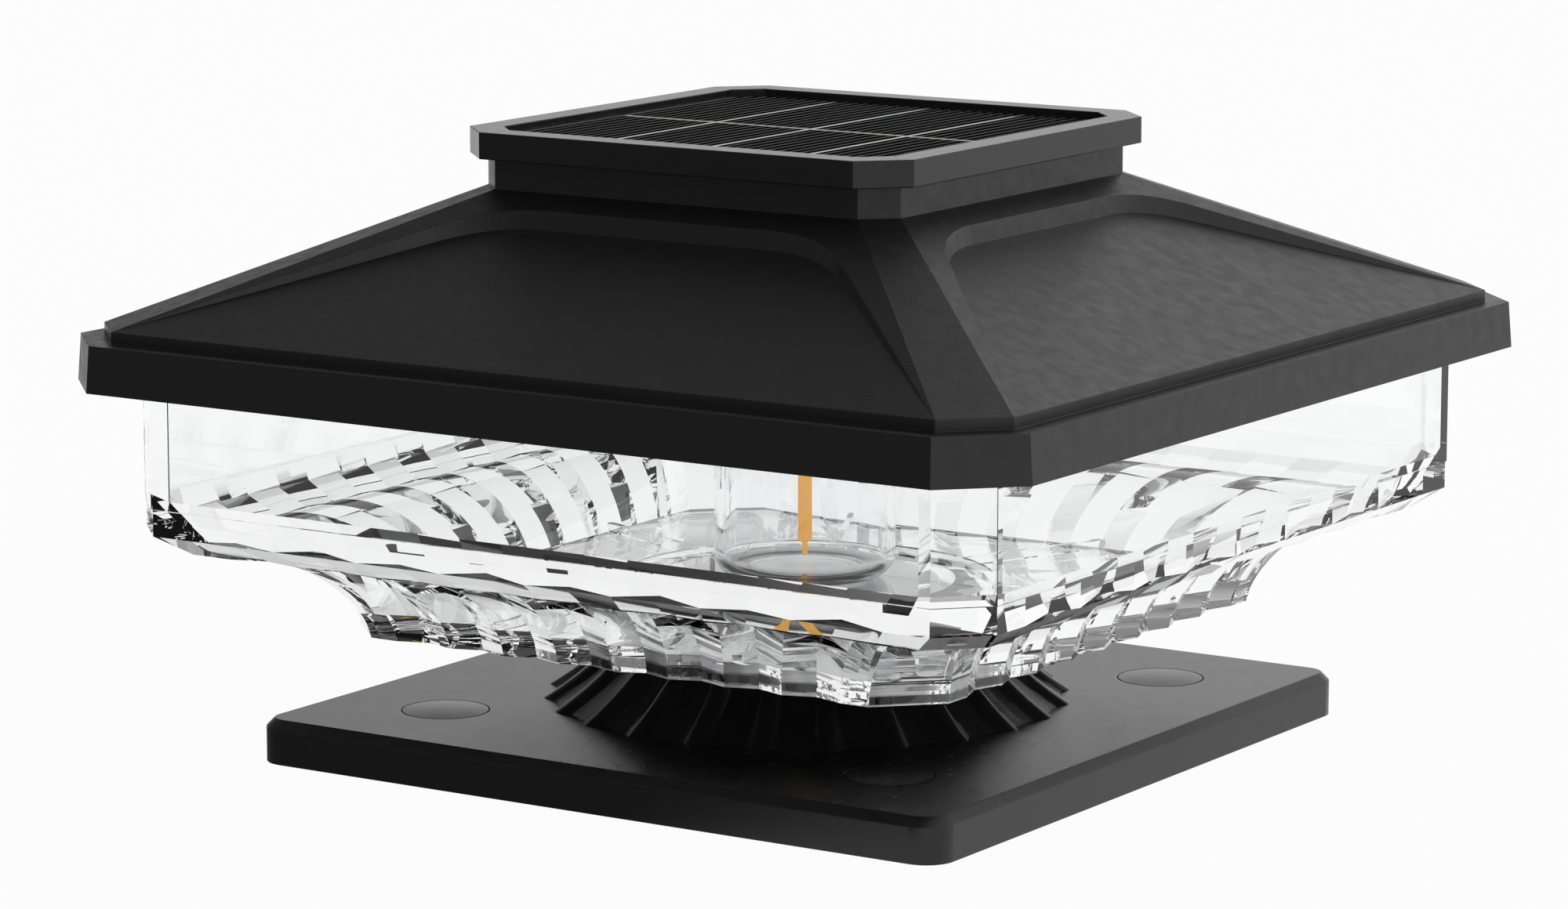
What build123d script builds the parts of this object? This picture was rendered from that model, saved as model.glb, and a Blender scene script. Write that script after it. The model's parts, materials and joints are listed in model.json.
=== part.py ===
from build123d import *
import os
from math import atan2, cos, hypot, radians, sin, sqrt, tan

# Solar post top light, in millimetres.
# The origin is the centre of the base plate's underside, +Z is up and the front looks to -Y.

# Clearances
SLIP = 0.3              # between a piece and the seat that only locates it
TURN = 0.2              # above and below the bayonet lugs
PILOT = 0.05            # round a screw's shank

# Base plate, as wide as the post that it caps
BASE_SIDE = 140.0
BASE_HEIGHT = 7.8
BASE_CORNER_R = 5.3
BASE_EDGE = 1.5
BASE_SKIN = 3.0
BASE_WALL = 3.4
WAFFLE_CELLS = 7
WAFFLE_RIB = 1.8

# Mounting holes and the plugs that cover them
HOLE_SPACING = 92.2
HOLE_R = 2.6
HOLE_FLOOR = 3.0
HEAD_BORE_R = 5.8
BOSS_WALL = 2.2
PLUG_R = 7.6
PLUG_GAP = 0.2
PLUG_DISC = 2.0
PLUG_CROWN = 0.35
PLUG_SKIRT = 1.2
PLUG_SKIRT_WALL = 0.9

# Fluted pedestal
FOOT_R = 47.1
PEDESTAL_TOP_R = 29.5
PEDESTAL_RISE = 16.2
FLARE_SAG = 1.15
FLUTES = 24
FLUTE_RIB = 4.0
FLUTE_DEPTH = 1.7
FLUTE_ROOT = 6.0
PEDESTAL_SCREW_PCD = 56.0
PEDESTAL_SCREW_BITE = 9.0

# Bayonet between the pedestal and the bowl
SPIGOT_R = 23.0
LUGS = 3
LUG_REACH = 2.6
LUG_HEIGHT = 2.0
LUG_SPAN = 30.0
LIP_HEIGHT = 1.8
NOTCH_SLACK = 4.0
LOCK_TURN = 40.0
STOP_SPAN = 4.0
HUB_WALL = 7.1
HUB_ROOF = 1.2

# Clear bowl: a cut-off square with a pleated cove underneath
WALL_HALF = 86.4
WALL_LEG = 7.7
WALL_T = 2.4
WALL_HEIGHT = 28.4
BEVEL_OUT = 4.9
BEVEL_RISE = 5.2
COVE_RUN = 20.3
COVE_RISE = 13.4
COVE_FOOT_LEG = 9.6
COVE_SAG = 4.3
COVE_STEPS = 3
RIM_DROP = 1.3
RIM_HEIGHT = 2.3
RIM_DRAFT = 0.5
RIM_WALL = 3.6
PLEATS = 9
PLEAT_DEPTH = 1.9
BOWL_FLOOR_INSET = 2.2
BOWL_FLOOR_LIFT = 2.5
BOWL_FLOOR_T = 2.3
BOWL_WALL_LIFT = 4.0
BOWL_SAG = 2.5
FLOOR_RIBS = 8
FLOOR_RIB_T = 1.6
FLOOR_RIB_HEIGHT = 1.5

# Roof
EAVES = 9.6
SKIRT_DRAFT = 0.6
SKIRT_LEG = 11.5
SKIRT_DROP = 1.5
SKIRT_HEIGHT = 8.2
SKIRT_WALL = 2.8
LEDGE_WIDTH = 3.9
LEDGE_T = 2.4
RISER_LEG = 8.95
RISER_HEIGHT = 2.0
ROOF_RISE = 22.6
NECK_LEG = 5.2
NECK_HEIGHT = 5.4
NECK_WALL = 3.3
ROOF_WALL = 2.4
RECESS_MARGIN = 5.64
RECESS_TOP_INSET = 8.4
RECESS_DEPTH = 2.8
RECESS_CORNER_R = 26.0
RECESS_DRAFT = 32.0
GROOVE_RIB_T = 2.0
GROOVE_DEPTH = 5.0
GASKET_T = 2.0
POST_OFFSET = 57.0
POST_R = 4.2
TAB_SIZE = 12.0
TAB_T = 2.0

# Solar panel and its frame
OPENING_HALF = 40.0
OPENING_LEG = 4.5
FRAME_WIDTH = 5.45
FRAME_LEG = 7.3
FRAME_HEIGHT = 4.7
FRAME_OVERHANG = 3.15
PANEL_SINK = 0.8
COVER_T = 0.6
CELL_T = 0.3
BACKING_T = 1.2
TAPE_T = 0.4
TAPE_WIDTH = 3.0
CELL_STRIPS = 4
RIBBON_WIDTH = 0.9
SHELF_WIDTH = 4.0
FRAME_SPIGOT = 6.0
FRAME_SPIGOT_WALL = 1.8
FRAME_BOSS_R = 3.6

# Ceiling plate that closes the roof from below
CEILING_T = 2.0
BOARD_POST_R = 2.6
BOARD_LIFT = 4.0

# Bulb
CUP_R = 16.1
CUP_WALL = 1.4
CUP_GAP = 0.4
CUP_FILLET = 4.0
CUP_FLANGE_R = 19.5
CUP_FLANGE_T = 2.0
COLLAR_R = 25.0
COLLAR_LIP = 1.6
FILAMENT_R = 1.25
FILAMENT_LENGTH = 26.4
LEAD_R = 0.5
LEAD_LENGTH = 4.4
SOCKET_R = 4.8
SOCKET_FLANGE_R = 7.5
SOCKET_FLANGE_T = 1.6

# Battery and its holder
BATTERY_R = 7.1
BATTERY_LENGTH = 50.0
NUB_R = 2.6
NUB_LENGTH = 1.0
BATTERY_Y = 40.0
HOLDER_WALL = 1.6
HOLDER_GAP = 0.6
HOLDER_EAR = 7.0
CONTACT_T = 0.5
CONTACT_WIDTH = 9.0
LEAF_REACH = 3.0
DOOR_LAP = 5.0
DOOR_T = 2.0
DOOR_PAD = 8.0

# Control board
BOARD_X = 44.0
BOARD_Y = 26.0
BOARD_T = 1.6
BOARD_CENTRE_Y = -42.0
CHIP = (9.0, 6.0, 1.8)
COIL_R = 3.6
COIL_HEIGHT = 4.6
CAPACITOR_R = 2.5
CAPACITOR_HEIGHT = 7.0

# Push switch
SWITCH_X = 52.0
BUTTON_R = 4.0
BUTTON_PROUD = 3.4
BUTTON_EDGE = 0.6
BUTTON_FLANGE = 1.6
BUTTON_FLANGE_T = 1.2
BUTTON_TRAVEL = 2.0
SWITCH_WALL = 2.0
SWITCH_ROOF = 2.5

# Screws: shank radius, head radius, head height
SCREW_R = 1.5
SCREW_HEAD_R = 2.8
SCREW_HEAD = 1.8
SMALL_SCREW_R = 1.0
SMALL_HEAD_R = 1.9
SMALL_HEAD = 1.2

# Insulated leads
WIRE_R = 0.65
WIRE_BEND = 5.0
PANEL_WIRE_X = 4.0
BATTERY_WIRE_OUT = 9.0
WIRE_LIFT = 6.0
WIRE_END_X = 17.0

# Levels worked out from the sizes above, from the base to the panel
PEDESTAL_Z = BASE_HEIGHT + PEDESTAL_RISE
LUG_Z = PEDESTAL_Z + LIP_HEIGHT + TURN
SPIGOT_TOP_Z = LUG_Z + LUG_HEIGHT
HUB_TOP_Z = SPIGOT_TOP_Z + TURN + HUB_ROOF
RIM_Z = PEDESTAL_Z - RIM_DROP
COVE_FOOT_Z = RIM_Z + RIM_HEIGHT
COVE_TOP_Z = COVE_FOOT_Z + COVE_RISE
BOWL_FLOOR_TOP_Z = COVE_FOOT_Z + BOWL_FLOOR_LIFT
WALL_FOOT_Z = COVE_TOP_Z + BEVEL_RISE
WALL_INNER_FOOT_Z = WALL_FOOT_Z + BOWL_WALL_LIFT
WALL_TOP_Z = WALL_FOOT_Z + WALL_HEIGHT
GROOVE_TOP_Z = WALL_TOP_Z + GASKET_T
GROOVE_BOTTOM_Z = GROOVE_TOP_Z - GROOVE_DEPTH
CEILING_Z = GROOVE_BOTTOM_Z
CEILING_TOP_Z = CEILING_Z + CEILING_T
SKIRT_BOTTOM_Z = GROOVE_BOTTOM_Z - SKIRT_DROP
SKIRT_TOP_Z = SKIRT_BOTTOM_Z + SKIRT_HEIGHT
RISER_TOP_Z = SKIRT_TOP_Z + RISER_HEIGHT
NECK_FOOT_Z = RISER_TOP_Z + ROOF_RISE
NECK_TOP_Z = NECK_FOOT_Z + NECK_HEIGHT
FRAME_TOP_Z = NECK_TOP_Z + FRAME_HEIGHT
COVER_TOP_Z = FRAME_TOP_Z - PANEL_SINK
CELL_TOP_Z = COVER_TOP_Z - COVER_T
BACKING_TOP_Z = CELL_TOP_Z - CELL_T
BACKING_BOTTOM_Z = BACKING_TOP_Z - BACKING_T
SHELF_Z = BACKING_BOTTOM_Z - TAPE_T
CUP_BOTTOM_Z = HUB_TOP_Z + CUP_GAP
FILAMENT_BOTTOM_Z = CUP_BOTTOM_Z + CUP_WALL + LEAD_LENGTH
SOCKET_BOTTOM_Z = FILAMENT_BOTTOM_Z + FILAMENT_LENGTH
BATTERY_Z = CEILING_TOP_Z + HOLDER_GAP + BATTERY_R
BOARD_Z = CEILING_TOP_Z + BOARD_LIFT
BOARD_TOP_Z = BOARD_Z + BOARD_T
WIRE_Z = BATTERY_Z + WIRE_LIFT

# Half widths worked out from the sizes above
COVE_TOP_HALF = WALL_HALF - BEVEL_OUT
COVE_FOOT_HALF = COVE_TOP_HALF - COVE_RUN
BOWL_FLOOR_HALF = COVE_FOOT_HALF - BOWL_FLOOR_INSET
GROOVE_OUTER = WALL_HALF + SLIP
GROOVE_INNER = WALL_HALF - WALL_T - SLIP
CEILING_HALF = GROOVE_INNER - GROOVE_RIB_T - SLIP
SKIRT_HALF = WALL_HALF + EAVES
SKIRT_TOP_HALF = SKIRT_HALF - SKIRT_DRAFT
RISER_HALF = SKIRT_TOP_HALF - LEDGE_WIDTH
PANEL_HALF = OPENING_HALF - SLIP
FRAME_HALF = OPENING_HALF + FRAME_WIDTH
NECK_HALF = FRAME_HALF - FRAME_OVERHANG
NECK_INNER = NECK_HALF - NECK_WALL
RECESS_TOP_HALF = NECK_HALF - RECESS_TOP_INSET
RECESS_LENGTH = hypot(RISER_HALF - NECK_HALF, ROOF_RISE) - RECESS_MARGIN
HUB_R = SPIGOT_R + LUG_REACH + SLIP + HUB_WALL
BOSS_R = PLUG_R + PLUG_GAP + BOSS_WALL

# Angles of the roof's slopes and of its sunk panels' floors
SLOPE = atan2(ROOF_RISE, RISER_HALF - NECK_HALF)
INNER_SLOPE = SLOPE - atan2(RECESS_DEPTH, RECESS_LENGTH)

# Spots that repeat
CORNERS = [(1, 1), (-1, 1), (-1, -1), (1, -1)]
BOTTOM = (Align.CENTER, Align.CENTER, Align.MIN)


def inset_leg(leg, wall):
    """Corner leg of a cut-off square after moving every side in by the wall."""
    return leg - wall * (2 - sqrt(2))


def octagon(half, leg):
    """Square of the given half width with its corners cut off."""
    flat = half - leg
    side = [(flat, -half), (half, -flat), (half, flat), (flat, half)]
    return Polygon(*side, *[(-x, -y) for x, y in side], align=None)


def prism(half, leg, low, high):
    """Upright cut-off square from one level to another."""
    return Pos(0, 0, low) * extrude(octagon(half, leg), amount=high - low)


def tower(*levels):
    """Cut-off squares joined level by level, each given as half width, leg and height."""
    return loft([Pos(0, 0, z) * octagon(half, leg) for half, leg, z in levels], ruled=True)


def rod(radius, low, high, x=0.0, y=0.0):
    """Upright cylinder between two levels."""
    return Pos(x, y, low) * Cylinder(radius, high - low, align=BOTTOM)


def tube(outer, inner, low, high, x=0.0, y=0.0):
    """Upright cylinder with a bore."""
    return rod(outer, low, high, x, y) - rod(inner, low, high, x, y)


def block(centre, size, low):
    """Box of the given length, width and height standing on a level."""
    return Pos(centre[0], centre[1], low) * Box(*size, align=BOTTOM)


def wedge(inner, outer, low, high, middle, span):
    """Part of a ring about the axis, given by its middle angle and span in degrees."""
    reach = 2 * outer
    angles = [radians(middle + span * share) for share in (-0.5, 0.0, 0.5)]
    fan = Polygon((0, 0), *[(reach * cos(a), reach * sin(a)) for a in angles], align=None)
    return tube(outer, inner, low, high) & (Pos(0, 0, low) * extrude(fan, amount=high - low))


def screw(x, y, under_head, bite, small=False, up=True):
    """Round-headed screw whose shank points up or down from the seat under its head."""
    shank = SMALL_SCREW_R if small else SCREW_R
    head = SMALL_HEAD_R if small else SCREW_HEAD_R
    height = SMALL_HEAD if small else SCREW_HEAD
    drive = height / 2
    body = rod(head, -height, 0) + rod(shank, 0, bite)
    body -= block((0, 0), (head * 1.2, height * 0.3, drive), -height)
    body -= block((0, 0), (height * 0.3, head * 1.2, drive), -height)
    turn = Rot(0, 0, 0) if up else Rot(180, 0, 0)
    return Pos(x, y, under_head) * turn * body


def bowed(start, end, sag):
    """Middle point of an arc that leaves its chord by the sag, to the left of its direction."""
    dx, dy = end[0] - start[0], end[1] - start[1]
    length = hypot(dx, dy)
    return ((start[0] + end[0]) / 2 - sag * dy / length, (start[1] + end[1]) / 2 + sag * dx / length)


def arc_points(start, end, sag, steps):
    """Evenly turned points on such an arc, with both ends."""
    curve = ThreePointArc(start, bowed(start, end, sag), end)
    return [((curve @ (i / steps)).X, (curve @ (i / steps)).Y) for i in range(steps + 1)]


def joined(pieces):
    """One node holding several separate solids."""
    return Compound(children=[solid for piece in pieces for solid in piece.solids()])


# Base

def hole_spots():
    return [(sx * HOLE_SPACING / 2, sy * HOLE_SPACING / 2) for sx, sy in CORNERS]


def pedestal_screw_spots():
    reach = PEDESTAL_SCREW_PCD / 2
    return [(reach, 0), (0, reach), (-reach, 0), (0, -reach)]


def base_plate():
    plate = extrude(RectangleRounded(BASE_SIDE, BASE_SIDE, BASE_CORNER_R), amount=BASE_HEIGHT)
    plate = chamfer(plate.faces().sort_by(Axis.Z)[-1].edges(), BASE_EDGE)
    # The underside is a waffle of square pockets with solid bosses round every screw
    inner = BASE_SIDE - 2 * BASE_WALL
    depth = BASE_HEIGHT - BASE_SKIN
    pitch = (inner + WAFFLE_RIB) / WAFFLE_CELLS
    pocket = pitch - WAFFLE_RIB
    first = -(inner - pocket) / 2
    bosses = [rod(BOSS_R, 0, depth, x, y) for x, y in hole_spots()]
    bosses += [rod(SCREW_HEAD_R + BOSS_WALL, 0, depth, x, y) for x, y in pedestal_screw_spots()]
    pockets = []
    for column in range(WAFFLE_CELLS):
        for row in range(WAFFLE_CELLS):
            spot = (first + column * pitch, first + row * pitch)
            pockets.append(block(spot, (pocket, pocket, depth), 0))
    plate -= Part() + pockets - bosses
    for x, y in hole_spots():
        plate -= rod(HOLE_R, 0, BASE_HEIGHT, x, y)
        plate -= rod(HEAD_BORE_R, HOLE_FLOOR, BASE_HEIGHT, x, y)
        plate -= rod(PLUG_R + PLUG_GAP, BASE_HEIGHT - PLUG_DISC, BASE_HEIGHT, x, y)
    for x, y in pedestal_screw_spots():
        plate -= rod(SCREW_R + SLIP, 0, BASE_HEIGHT, x, y)
        plate -= rod(SCREW_HEAD_R + SLIP, 0, depth - SCREW_HEAD, x, y)
    return plate


def hole_plugs():
    """Slightly domed discs with a short skirt that enters the screw's head bore."""
    seat = BASE_HEIGHT - PLUG_DISC
    skirt_r = HEAD_BORE_R - PLUG_GAP
    dome_r = (PLUG_R ** 2 + PLUG_CROWN ** 2) / (2 * PLUG_CROWN)
    dome = Pos(0, 0, BASE_HEIGHT + PLUG_CROWN - dome_r) * Sphere(dome_r)
    plug = rod(PLUG_R, seat, BASE_HEIGHT + PLUG_CROWN) & dome
    plug += tube(skirt_r, skirt_r - PLUG_SKIRT_WALL, seat - PLUG_SKIRT, seat)
    return joined([Pos(x, y, 0) * plug for x, y in hole_spots()])


def flare_face(depth, inner_r):
    """Half section of the pedestal's flare, pared down by a depth and kept outside a radius."""
    low = (FOOT_R - depth, BASE_HEIGHT)
    high = (PEDESTAL_TOP_R - depth, PEDESTAL_Z)
    curve = ThreePointArc(low, bowed(low, high, FLARE_SAG), high)
    rest = Polyline(high, (inner_r, PEDESTAL_Z), (inner_r, BASE_HEIGHT), low)
    return Plane.XZ * make_face(Curve() + [curve, rest])


def pedestal():
    body = revolve(flare_face(FLUTE_DEPTH, 0), axis=Axis.Z)
    fin = extrude(flare_face(0, PEDESTAL_TOP_R - FLUTE_ROOT), amount=FLUTE_RIB / 2, both=True)
    pitch = 360 / FLUTES
    body += [Rot(0, 0, (i + 0.5) * pitch) * fin for i in range(FLUTES)]
    body += rod(SPIGOT_R, PEDESTAL_Z, SPIGOT_TOP_Z)
    lug_r = SPIGOT_R + LUG_REACH
    for i in range(LUGS):
        body += wedge(SPIGOT_R / 2, lug_r, LUG_Z, SPIGOT_TOP_Z, i * 360 / LUGS, LUG_SPAN)
    for x, y in pedestal_screw_spots():
        body -= rod(SCREW_R + PILOT, BASE_HEIGHT, BASE_HEIGHT + PEDESTAL_SCREW_BITE + SLIP, x, y)
    return body


def pedestal_screws():
    seat = BASE_HEIGHT - BASE_SKIN - SCREW_HEAD
    bite = BASE_HEIGHT - seat + PEDESTAL_SCREW_BITE
    return joined([screw(x, y, seat, bite) for x, y in pedestal_screw_spots()])


# Clear bowl

def pleated(half, leg):
    """Cut-off square whose four long sides are folded into pleats."""
    flat = half - leg
    depth = PLEAT_DEPTH * flat / (COVE_FOOT_HALF - COVE_FOOT_LEG)
    step = flat / PLEATS
    side = [(-flat + i * step, -half + depth * (i % 2)) for i in range(2 * PLEATS + 1)]
    points = []
    for quarter in range(4):
        points += side
        side = [(-y, x) for x, y in side]
    return Polygon(*points, align=None)


def cove_leg(half):
    """Corner leg of the bowl at a given half width, from the cove's foot up to the wall."""
    share = (half - COVE_FOOT_HALF) / (WALL_HALF - COVE_FOOT_HALF)
    return COVE_FOOT_LEG + share * (WALL_LEG - COVE_FOOT_LEG)


def bowl_socket():
    """Space in the hub for the spigot, its lugs and the way in past the lip."""
    lug_r = SPIGOT_R + LUG_REACH + SLIP
    lip_top = PEDESTAL_Z + LIP_HEIGHT
    roof = SPIGOT_TOP_Z + TURN
    space = rod(SPIGOT_R + SLIP, PEDESTAL_Z, roof) + rod(lug_r, lip_top, roof)
    pitch = 360 / LUGS
    for i in range(LUGS):
        lug = i * pitch
        space += wedge(SPIGOT_R / 2, lug_r, PEDESTAL_Z, roof, lug - LOCK_TURN, LUG_SPAN + NOTCH_SLACK)
        stop = lug + (LUG_SPAN + STOP_SPAN) / 2 + 1
        space -= wedge(SPIGOT_R + SLIP, lug_r, lip_top, roof, stop, STOP_SPAN)
    return space


def diffuser():
    # Outside: pleated rim and cove, a plain bevel above them, then the wall
    rim_half = COVE_FOOT_HALF - RIM_DRAFT
    start, end = (COVE_FOOT_HALF, COVE_FOOT_Z), (COVE_TOP_HALF, COVE_TOP_Z)
    levels = [(rim_half, RIM_Z)] + arc_points(start, end, COVE_SAG, COVE_STEPS)
    body = loft([Pos(0, 0, z) * pleated(half, cove_leg(half)) for half, z in levels], ruled=True)
    body += tower((COVE_TOP_HALF, cove_leg(COVE_TOP_HALF), COVE_TOP_Z), (WALL_HALF, WALL_LEG, WALL_FOOT_Z))
    body += prism(WALL_HALF, WALL_LEG, WALL_FOOT_Z, WALL_TOP_Z)
    # Inside: a smooth cove down to a flat floor
    inner_wall = WALL_HALF - WALL_T
    inner_leg = inset_leg(WALL_LEG, WALL_T)
    floor_leg = inset_leg(COVE_FOOT_LEG, COVE_FOOT_HALF - BOWL_FLOOR_HALF)
    low, high = (BOWL_FLOOR_HALF, BOWL_FLOOR_TOP_Z), (inner_wall, WALL_INNER_FOOT_Z)
    inner = []
    for half, z in arc_points(low, high, BOWL_SAG, COVE_STEPS):
        share = (half - BOWL_FLOOR_HALF) / (inner_wall - BOWL_FLOOR_HALF)
        inner.append((half, floor_leg + share * (inner_leg - floor_leg), z))
    body -= tower(*inner) + prism(inner_wall, inner_leg, WALL_INNER_FOOT_Z, WALL_TOP_Z)
    # Underneath: a shallow hollow inside the pleated rim
    under_half = rim_half - RIM_WALL
    under_leg = inset_leg(COVE_FOOT_LEG, RIM_WALL)
    body -= prism(under_half, under_leg, RIM_Z, BOWL_FLOOR_TOP_Z - BOWL_FLOOR_T)
    # Hub for the bayonet, and ribs that spread its load over the floor
    body += rod(HUB_R, PEDESTAL_Z, HUB_TOP_Z)
    spread = 360 / FLOOR_RIBS
    reach = BOWL_FLOOR_HALF / cos(radians(spread / 2))
    length = reach - HUB_R + HUB_WALL
    middle = HUB_R - HUB_WALL + length / 2
    rib = block((middle, 0), (length, FLOOR_RIB_T, FLOOR_RIB_HEIGHT + BOWL_FLOOR_T / 2),
                BOWL_FLOOR_TOP_Z - BOWL_FLOOR_T / 2)
    body += [Rot(0, 0, (i + 0.5) * spread) * rib for i in range(FLOOR_RIBS)]
    return body - bowl_socket()


def groove_ring(low, high):
    """Square ring that fills the roof's groove between two levels."""
    outer_leg = WALL_LEG + inset_leg(0, -SLIP)
    inner_leg = inset_leg(WALL_LEG, WALL_T + SLIP)
    return prism(GROOVE_OUTER, outer_leg, low, high) - prism(GROOVE_INNER, inner_leg, low, high)


def diffuser_gasket():
    return groove_ring(WALL_TOP_Z, GROOVE_TOP_Z)


# Roof

def inner_slope_z(half):
    """Height of the roof's inside at a given half width, one wall below the sunk panels."""
    start_half = RISER_HALF - ROOF_WALL * sin(INNER_SLOPE)
    start_z = RISER_TOP_Z - ROOF_WALL * cos(INNER_SLOPE)
    return start_z + (start_half - half) * tan(INNER_SLOPE)


def sunk_panel():
    """Cutter for the sunk panel of the front slope: no depth at the eaves, full depth at the top."""
    slope_plane = Plane(origin=(0, -RISER_HALF, RISER_TOP_Z), x_dir=(1, 0, 0),
                        z_dir=(0, -sin(SLOPE), cos(SLOPE)))
    floor_plane = Plane(origin=(0, -RISER_HALF, RISER_TOP_Z), x_dir=(1, 0, 0),
                        z_dir=(0, -sin(INNER_SLOPE), cos(INNER_SLOPE)))
    foot = RISER_HALF - RISER_LEG
    spread = (foot - RECESS_TOP_HALF) / RECESS_LENGTH
    below = RISER_HEIGHT
    outline = Polygon((-foot - below * spread, -below), (foot + below * spread, -below),
                      (RECESS_TOP_HALF, RECESS_LENGTH), (-RECESS_TOP_HALF, RECESS_LENGTH), align=None)
    outline = fillet(outline.vertices().group_by(Axis.Y)[-1], RECESS_CORNER_R)
    sunk = extrude(slope_plane * outline, amount=-2 * RECESS_DEPTH, taper=RECESS_DRAFT)
    sunk += extrude(slope_plane * outline, amount=RECESS_DEPTH)
    return split(sunk, bisect_by=floor_plane, keep=Keep.TOP)


def roof_shell():
    top_leg = inset_leg(SKIRT_LEG, SKIRT_HALF - SKIRT_TOP_HALF)
    shell = tower((SKIRT_HALF, SKIRT_LEG, SKIRT_BOTTOM_Z), (SKIRT_TOP_HALF, top_leg, SKIRT_TOP_Z))
    shell += prism(RISER_HALF, RISER_LEG, SKIRT_TOP_Z, RISER_TOP_Z)
    shell += tower((RISER_HALF, RISER_LEG, RISER_TOP_Z), (NECK_HALF, NECK_LEG, NECK_FOOT_Z))
    shell += prism(NECK_HALF, NECK_LEG, NECK_FOOT_Z, NECK_TOP_Z)
    shell -= [Rot(0, 0, 90 * side) * sunk_panel() for side in range(4)]
    # Hollow inside: the skirt, the slopes and the neck
    skirt_inner = SKIRT_TOP_HALF - SKIRT_WALL
    neck_leg = inset_leg(NECK_LEG, NECK_WALL)
    eave_half = GROOVE_OUTER + GROOVE_RIB_T / 2
    eave_leg = inset_leg(RISER_LEG, RISER_HALF - eave_half)
    shell -= prism(skirt_inner, inset_leg(SKIRT_LEG, SKIRT_WALL), SKIRT_BOTTOM_Z, SKIRT_TOP_Z - LEDGE_T)
    shell -= prism(eave_half, eave_leg, SKIRT_BOTTOM_Z, inner_slope_z(eave_half))
    shell -= tower((eave_half, eave_leg, inner_slope_z(eave_half)),
                   (NECK_INNER, neck_leg, inner_slope_z(NECK_INNER)))
    shell -= prism(NECK_INNER, neck_leg, inner_slope_z(NECK_INNER), NECK_TOP_Z)
    # Double rib with the groove that takes the bowl's top edge
    ribs = prism(GROOVE_OUTER + GROOVE_RIB_T, WALL_LEG + inset_leg(0, -SLIP - GROOVE_RIB_T),
                 GROOVE_BOTTOM_Z, inner_slope_z(eave_half) + ROOF_WALL / 3)
    ribs -= prism(GROOVE_INNER - GROOVE_RIB_T, inset_leg(WALL_LEG, WALL_T + SLIP + GROOVE_RIB_T),
                  GROOVE_BOTTOM_Z, inner_slope_z(eave_half) + ROOF_WALL)
    shell += ribs - groove_ring(GROOVE_BOTTOM_Z, GROOVE_TOP_Z)
    # Posts for the ceiling plate and corner tabs for the panel frame
    for x, y in post_spots():
        shell += rod(POST_R, CEILING_TOP_Z, post_top_z(), x, y)
        shell -= rod(SCREW_R + PILOT, CEILING_TOP_Z, CEILING_TOP_Z + post_bite() + SLIP, x, y)
    tab_z = inner_slope_z(NECK_INNER)
    for x, y in frame_boss_spots():
        shell += block((x, y), (TAB_SIZE, TAB_SIZE, TAB_T), tab_z) & prism(NECK_HALF, NECK_LEG, tab_z, NECK_TOP_Z)
        shell -= rod(SMALL_SCREW_R + SLIP, tab_z, tab_z + TAB_T, x, y)
    return shell


def post_spots():
    return [(sx * POST_OFFSET, sy * POST_OFFSET) for sx, sy in CORNERS]


def post_top_z():
    """Just inside the roof's wall above a post."""
    return inner_slope_z(POST_OFFSET + POST_R) + ROOF_WALL / 3


def post_bite():
    return (post_top_z() - CEILING_TOP_Z) * 0.6


def frame_boss_spots():
    reach = NECK_INNER - TAB_SIZE / 2
    return [(sx * reach, sy * reach) for sx, sy in CORNERS]


# Solar panel and its frame

def panel_frame():
    frame = prism(FRAME_HALF, FRAME_LEG, NECK_TOP_Z, FRAME_TOP_Z)
    frame -= prism(OPENING_HALF, OPENING_LEG, SHELF_Z, FRAME_TOP_Z)
    shelf_half = OPENING_HALF - SHELF_WIDTH
    frame -= prism(shelf_half, inset_leg(OPENING_LEG, SHELF_WIDTH), NECK_TOP_Z, SHELF_Z)
    spigot_half = NECK_INNER - SLIP
    spigot_leg = inset_leg(NECK_LEG, NECK_WALL + SLIP)
    spigot_z = NECK_TOP_Z - FRAME_SPIGOT
    frame += prism(spigot_half, spigot_leg, spigot_z, NECK_TOP_Z) - prism(
        spigot_half - FRAME_SPIGOT_WALL, inset_leg(spigot_leg, FRAME_SPIGOT_WALL), spigot_z, NECK_TOP_Z)
    boss_z = inner_slope_z(NECK_INNER) + TAB_T
    for x, y in frame_boss_spots():
        frame += rod(FRAME_BOSS_R, boss_z, SHELF_Z, x, y)
        frame -= rod(SMALL_SCREW_R + PILOT, boss_z, SHELF_Z - SLIP, x, y)
    return frame


def frame_screws():
    seat = inner_slope_z(NECK_INNER)
    bite = (SHELF_Z - seat) * 0.8
    return joined([screw(x, y, seat, bite, small=True) for x, y in frame_boss_spots()])


def panel_slab(low, high):
    """Slab with the panel's outline."""
    return prism(PANEL_HALF, inset_leg(OPENING_LEG, SLIP), low, high)


def panel_tape():
    inner = PANEL_HALF - TAPE_WIDTH
    inner_leg = inset_leg(OPENING_LEG, SLIP + TAPE_WIDTH)
    return panel_slab(SHELF_Z, BACKING_BOTTOM_Z) - prism(inner, inner_leg, SHELF_Z, BACKING_BOTTOM_Z)


def panel_backing():
    return panel_slab(BACKING_BOTTOM_Z, BACKING_TOP_Z)


def cell_strip(left, right):
    """Slice of the cell layer from front to back between two lines."""
    bar = block(((left + right) / 2, 0), (right - left, 2 * PANEL_HALF, CELL_T), BACKING_TOP_Z)
    return bar & panel_slab(BACKING_TOP_Z, CELL_TOP_Z)


def strip_lefts():
    pitch = 2 * PANEL_HALF / CELL_STRIPS
    return [(-PANEL_HALF + i * pitch, -PANEL_HALF + (i + 1) * pitch) for i in range(CELL_STRIPS)]


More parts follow.
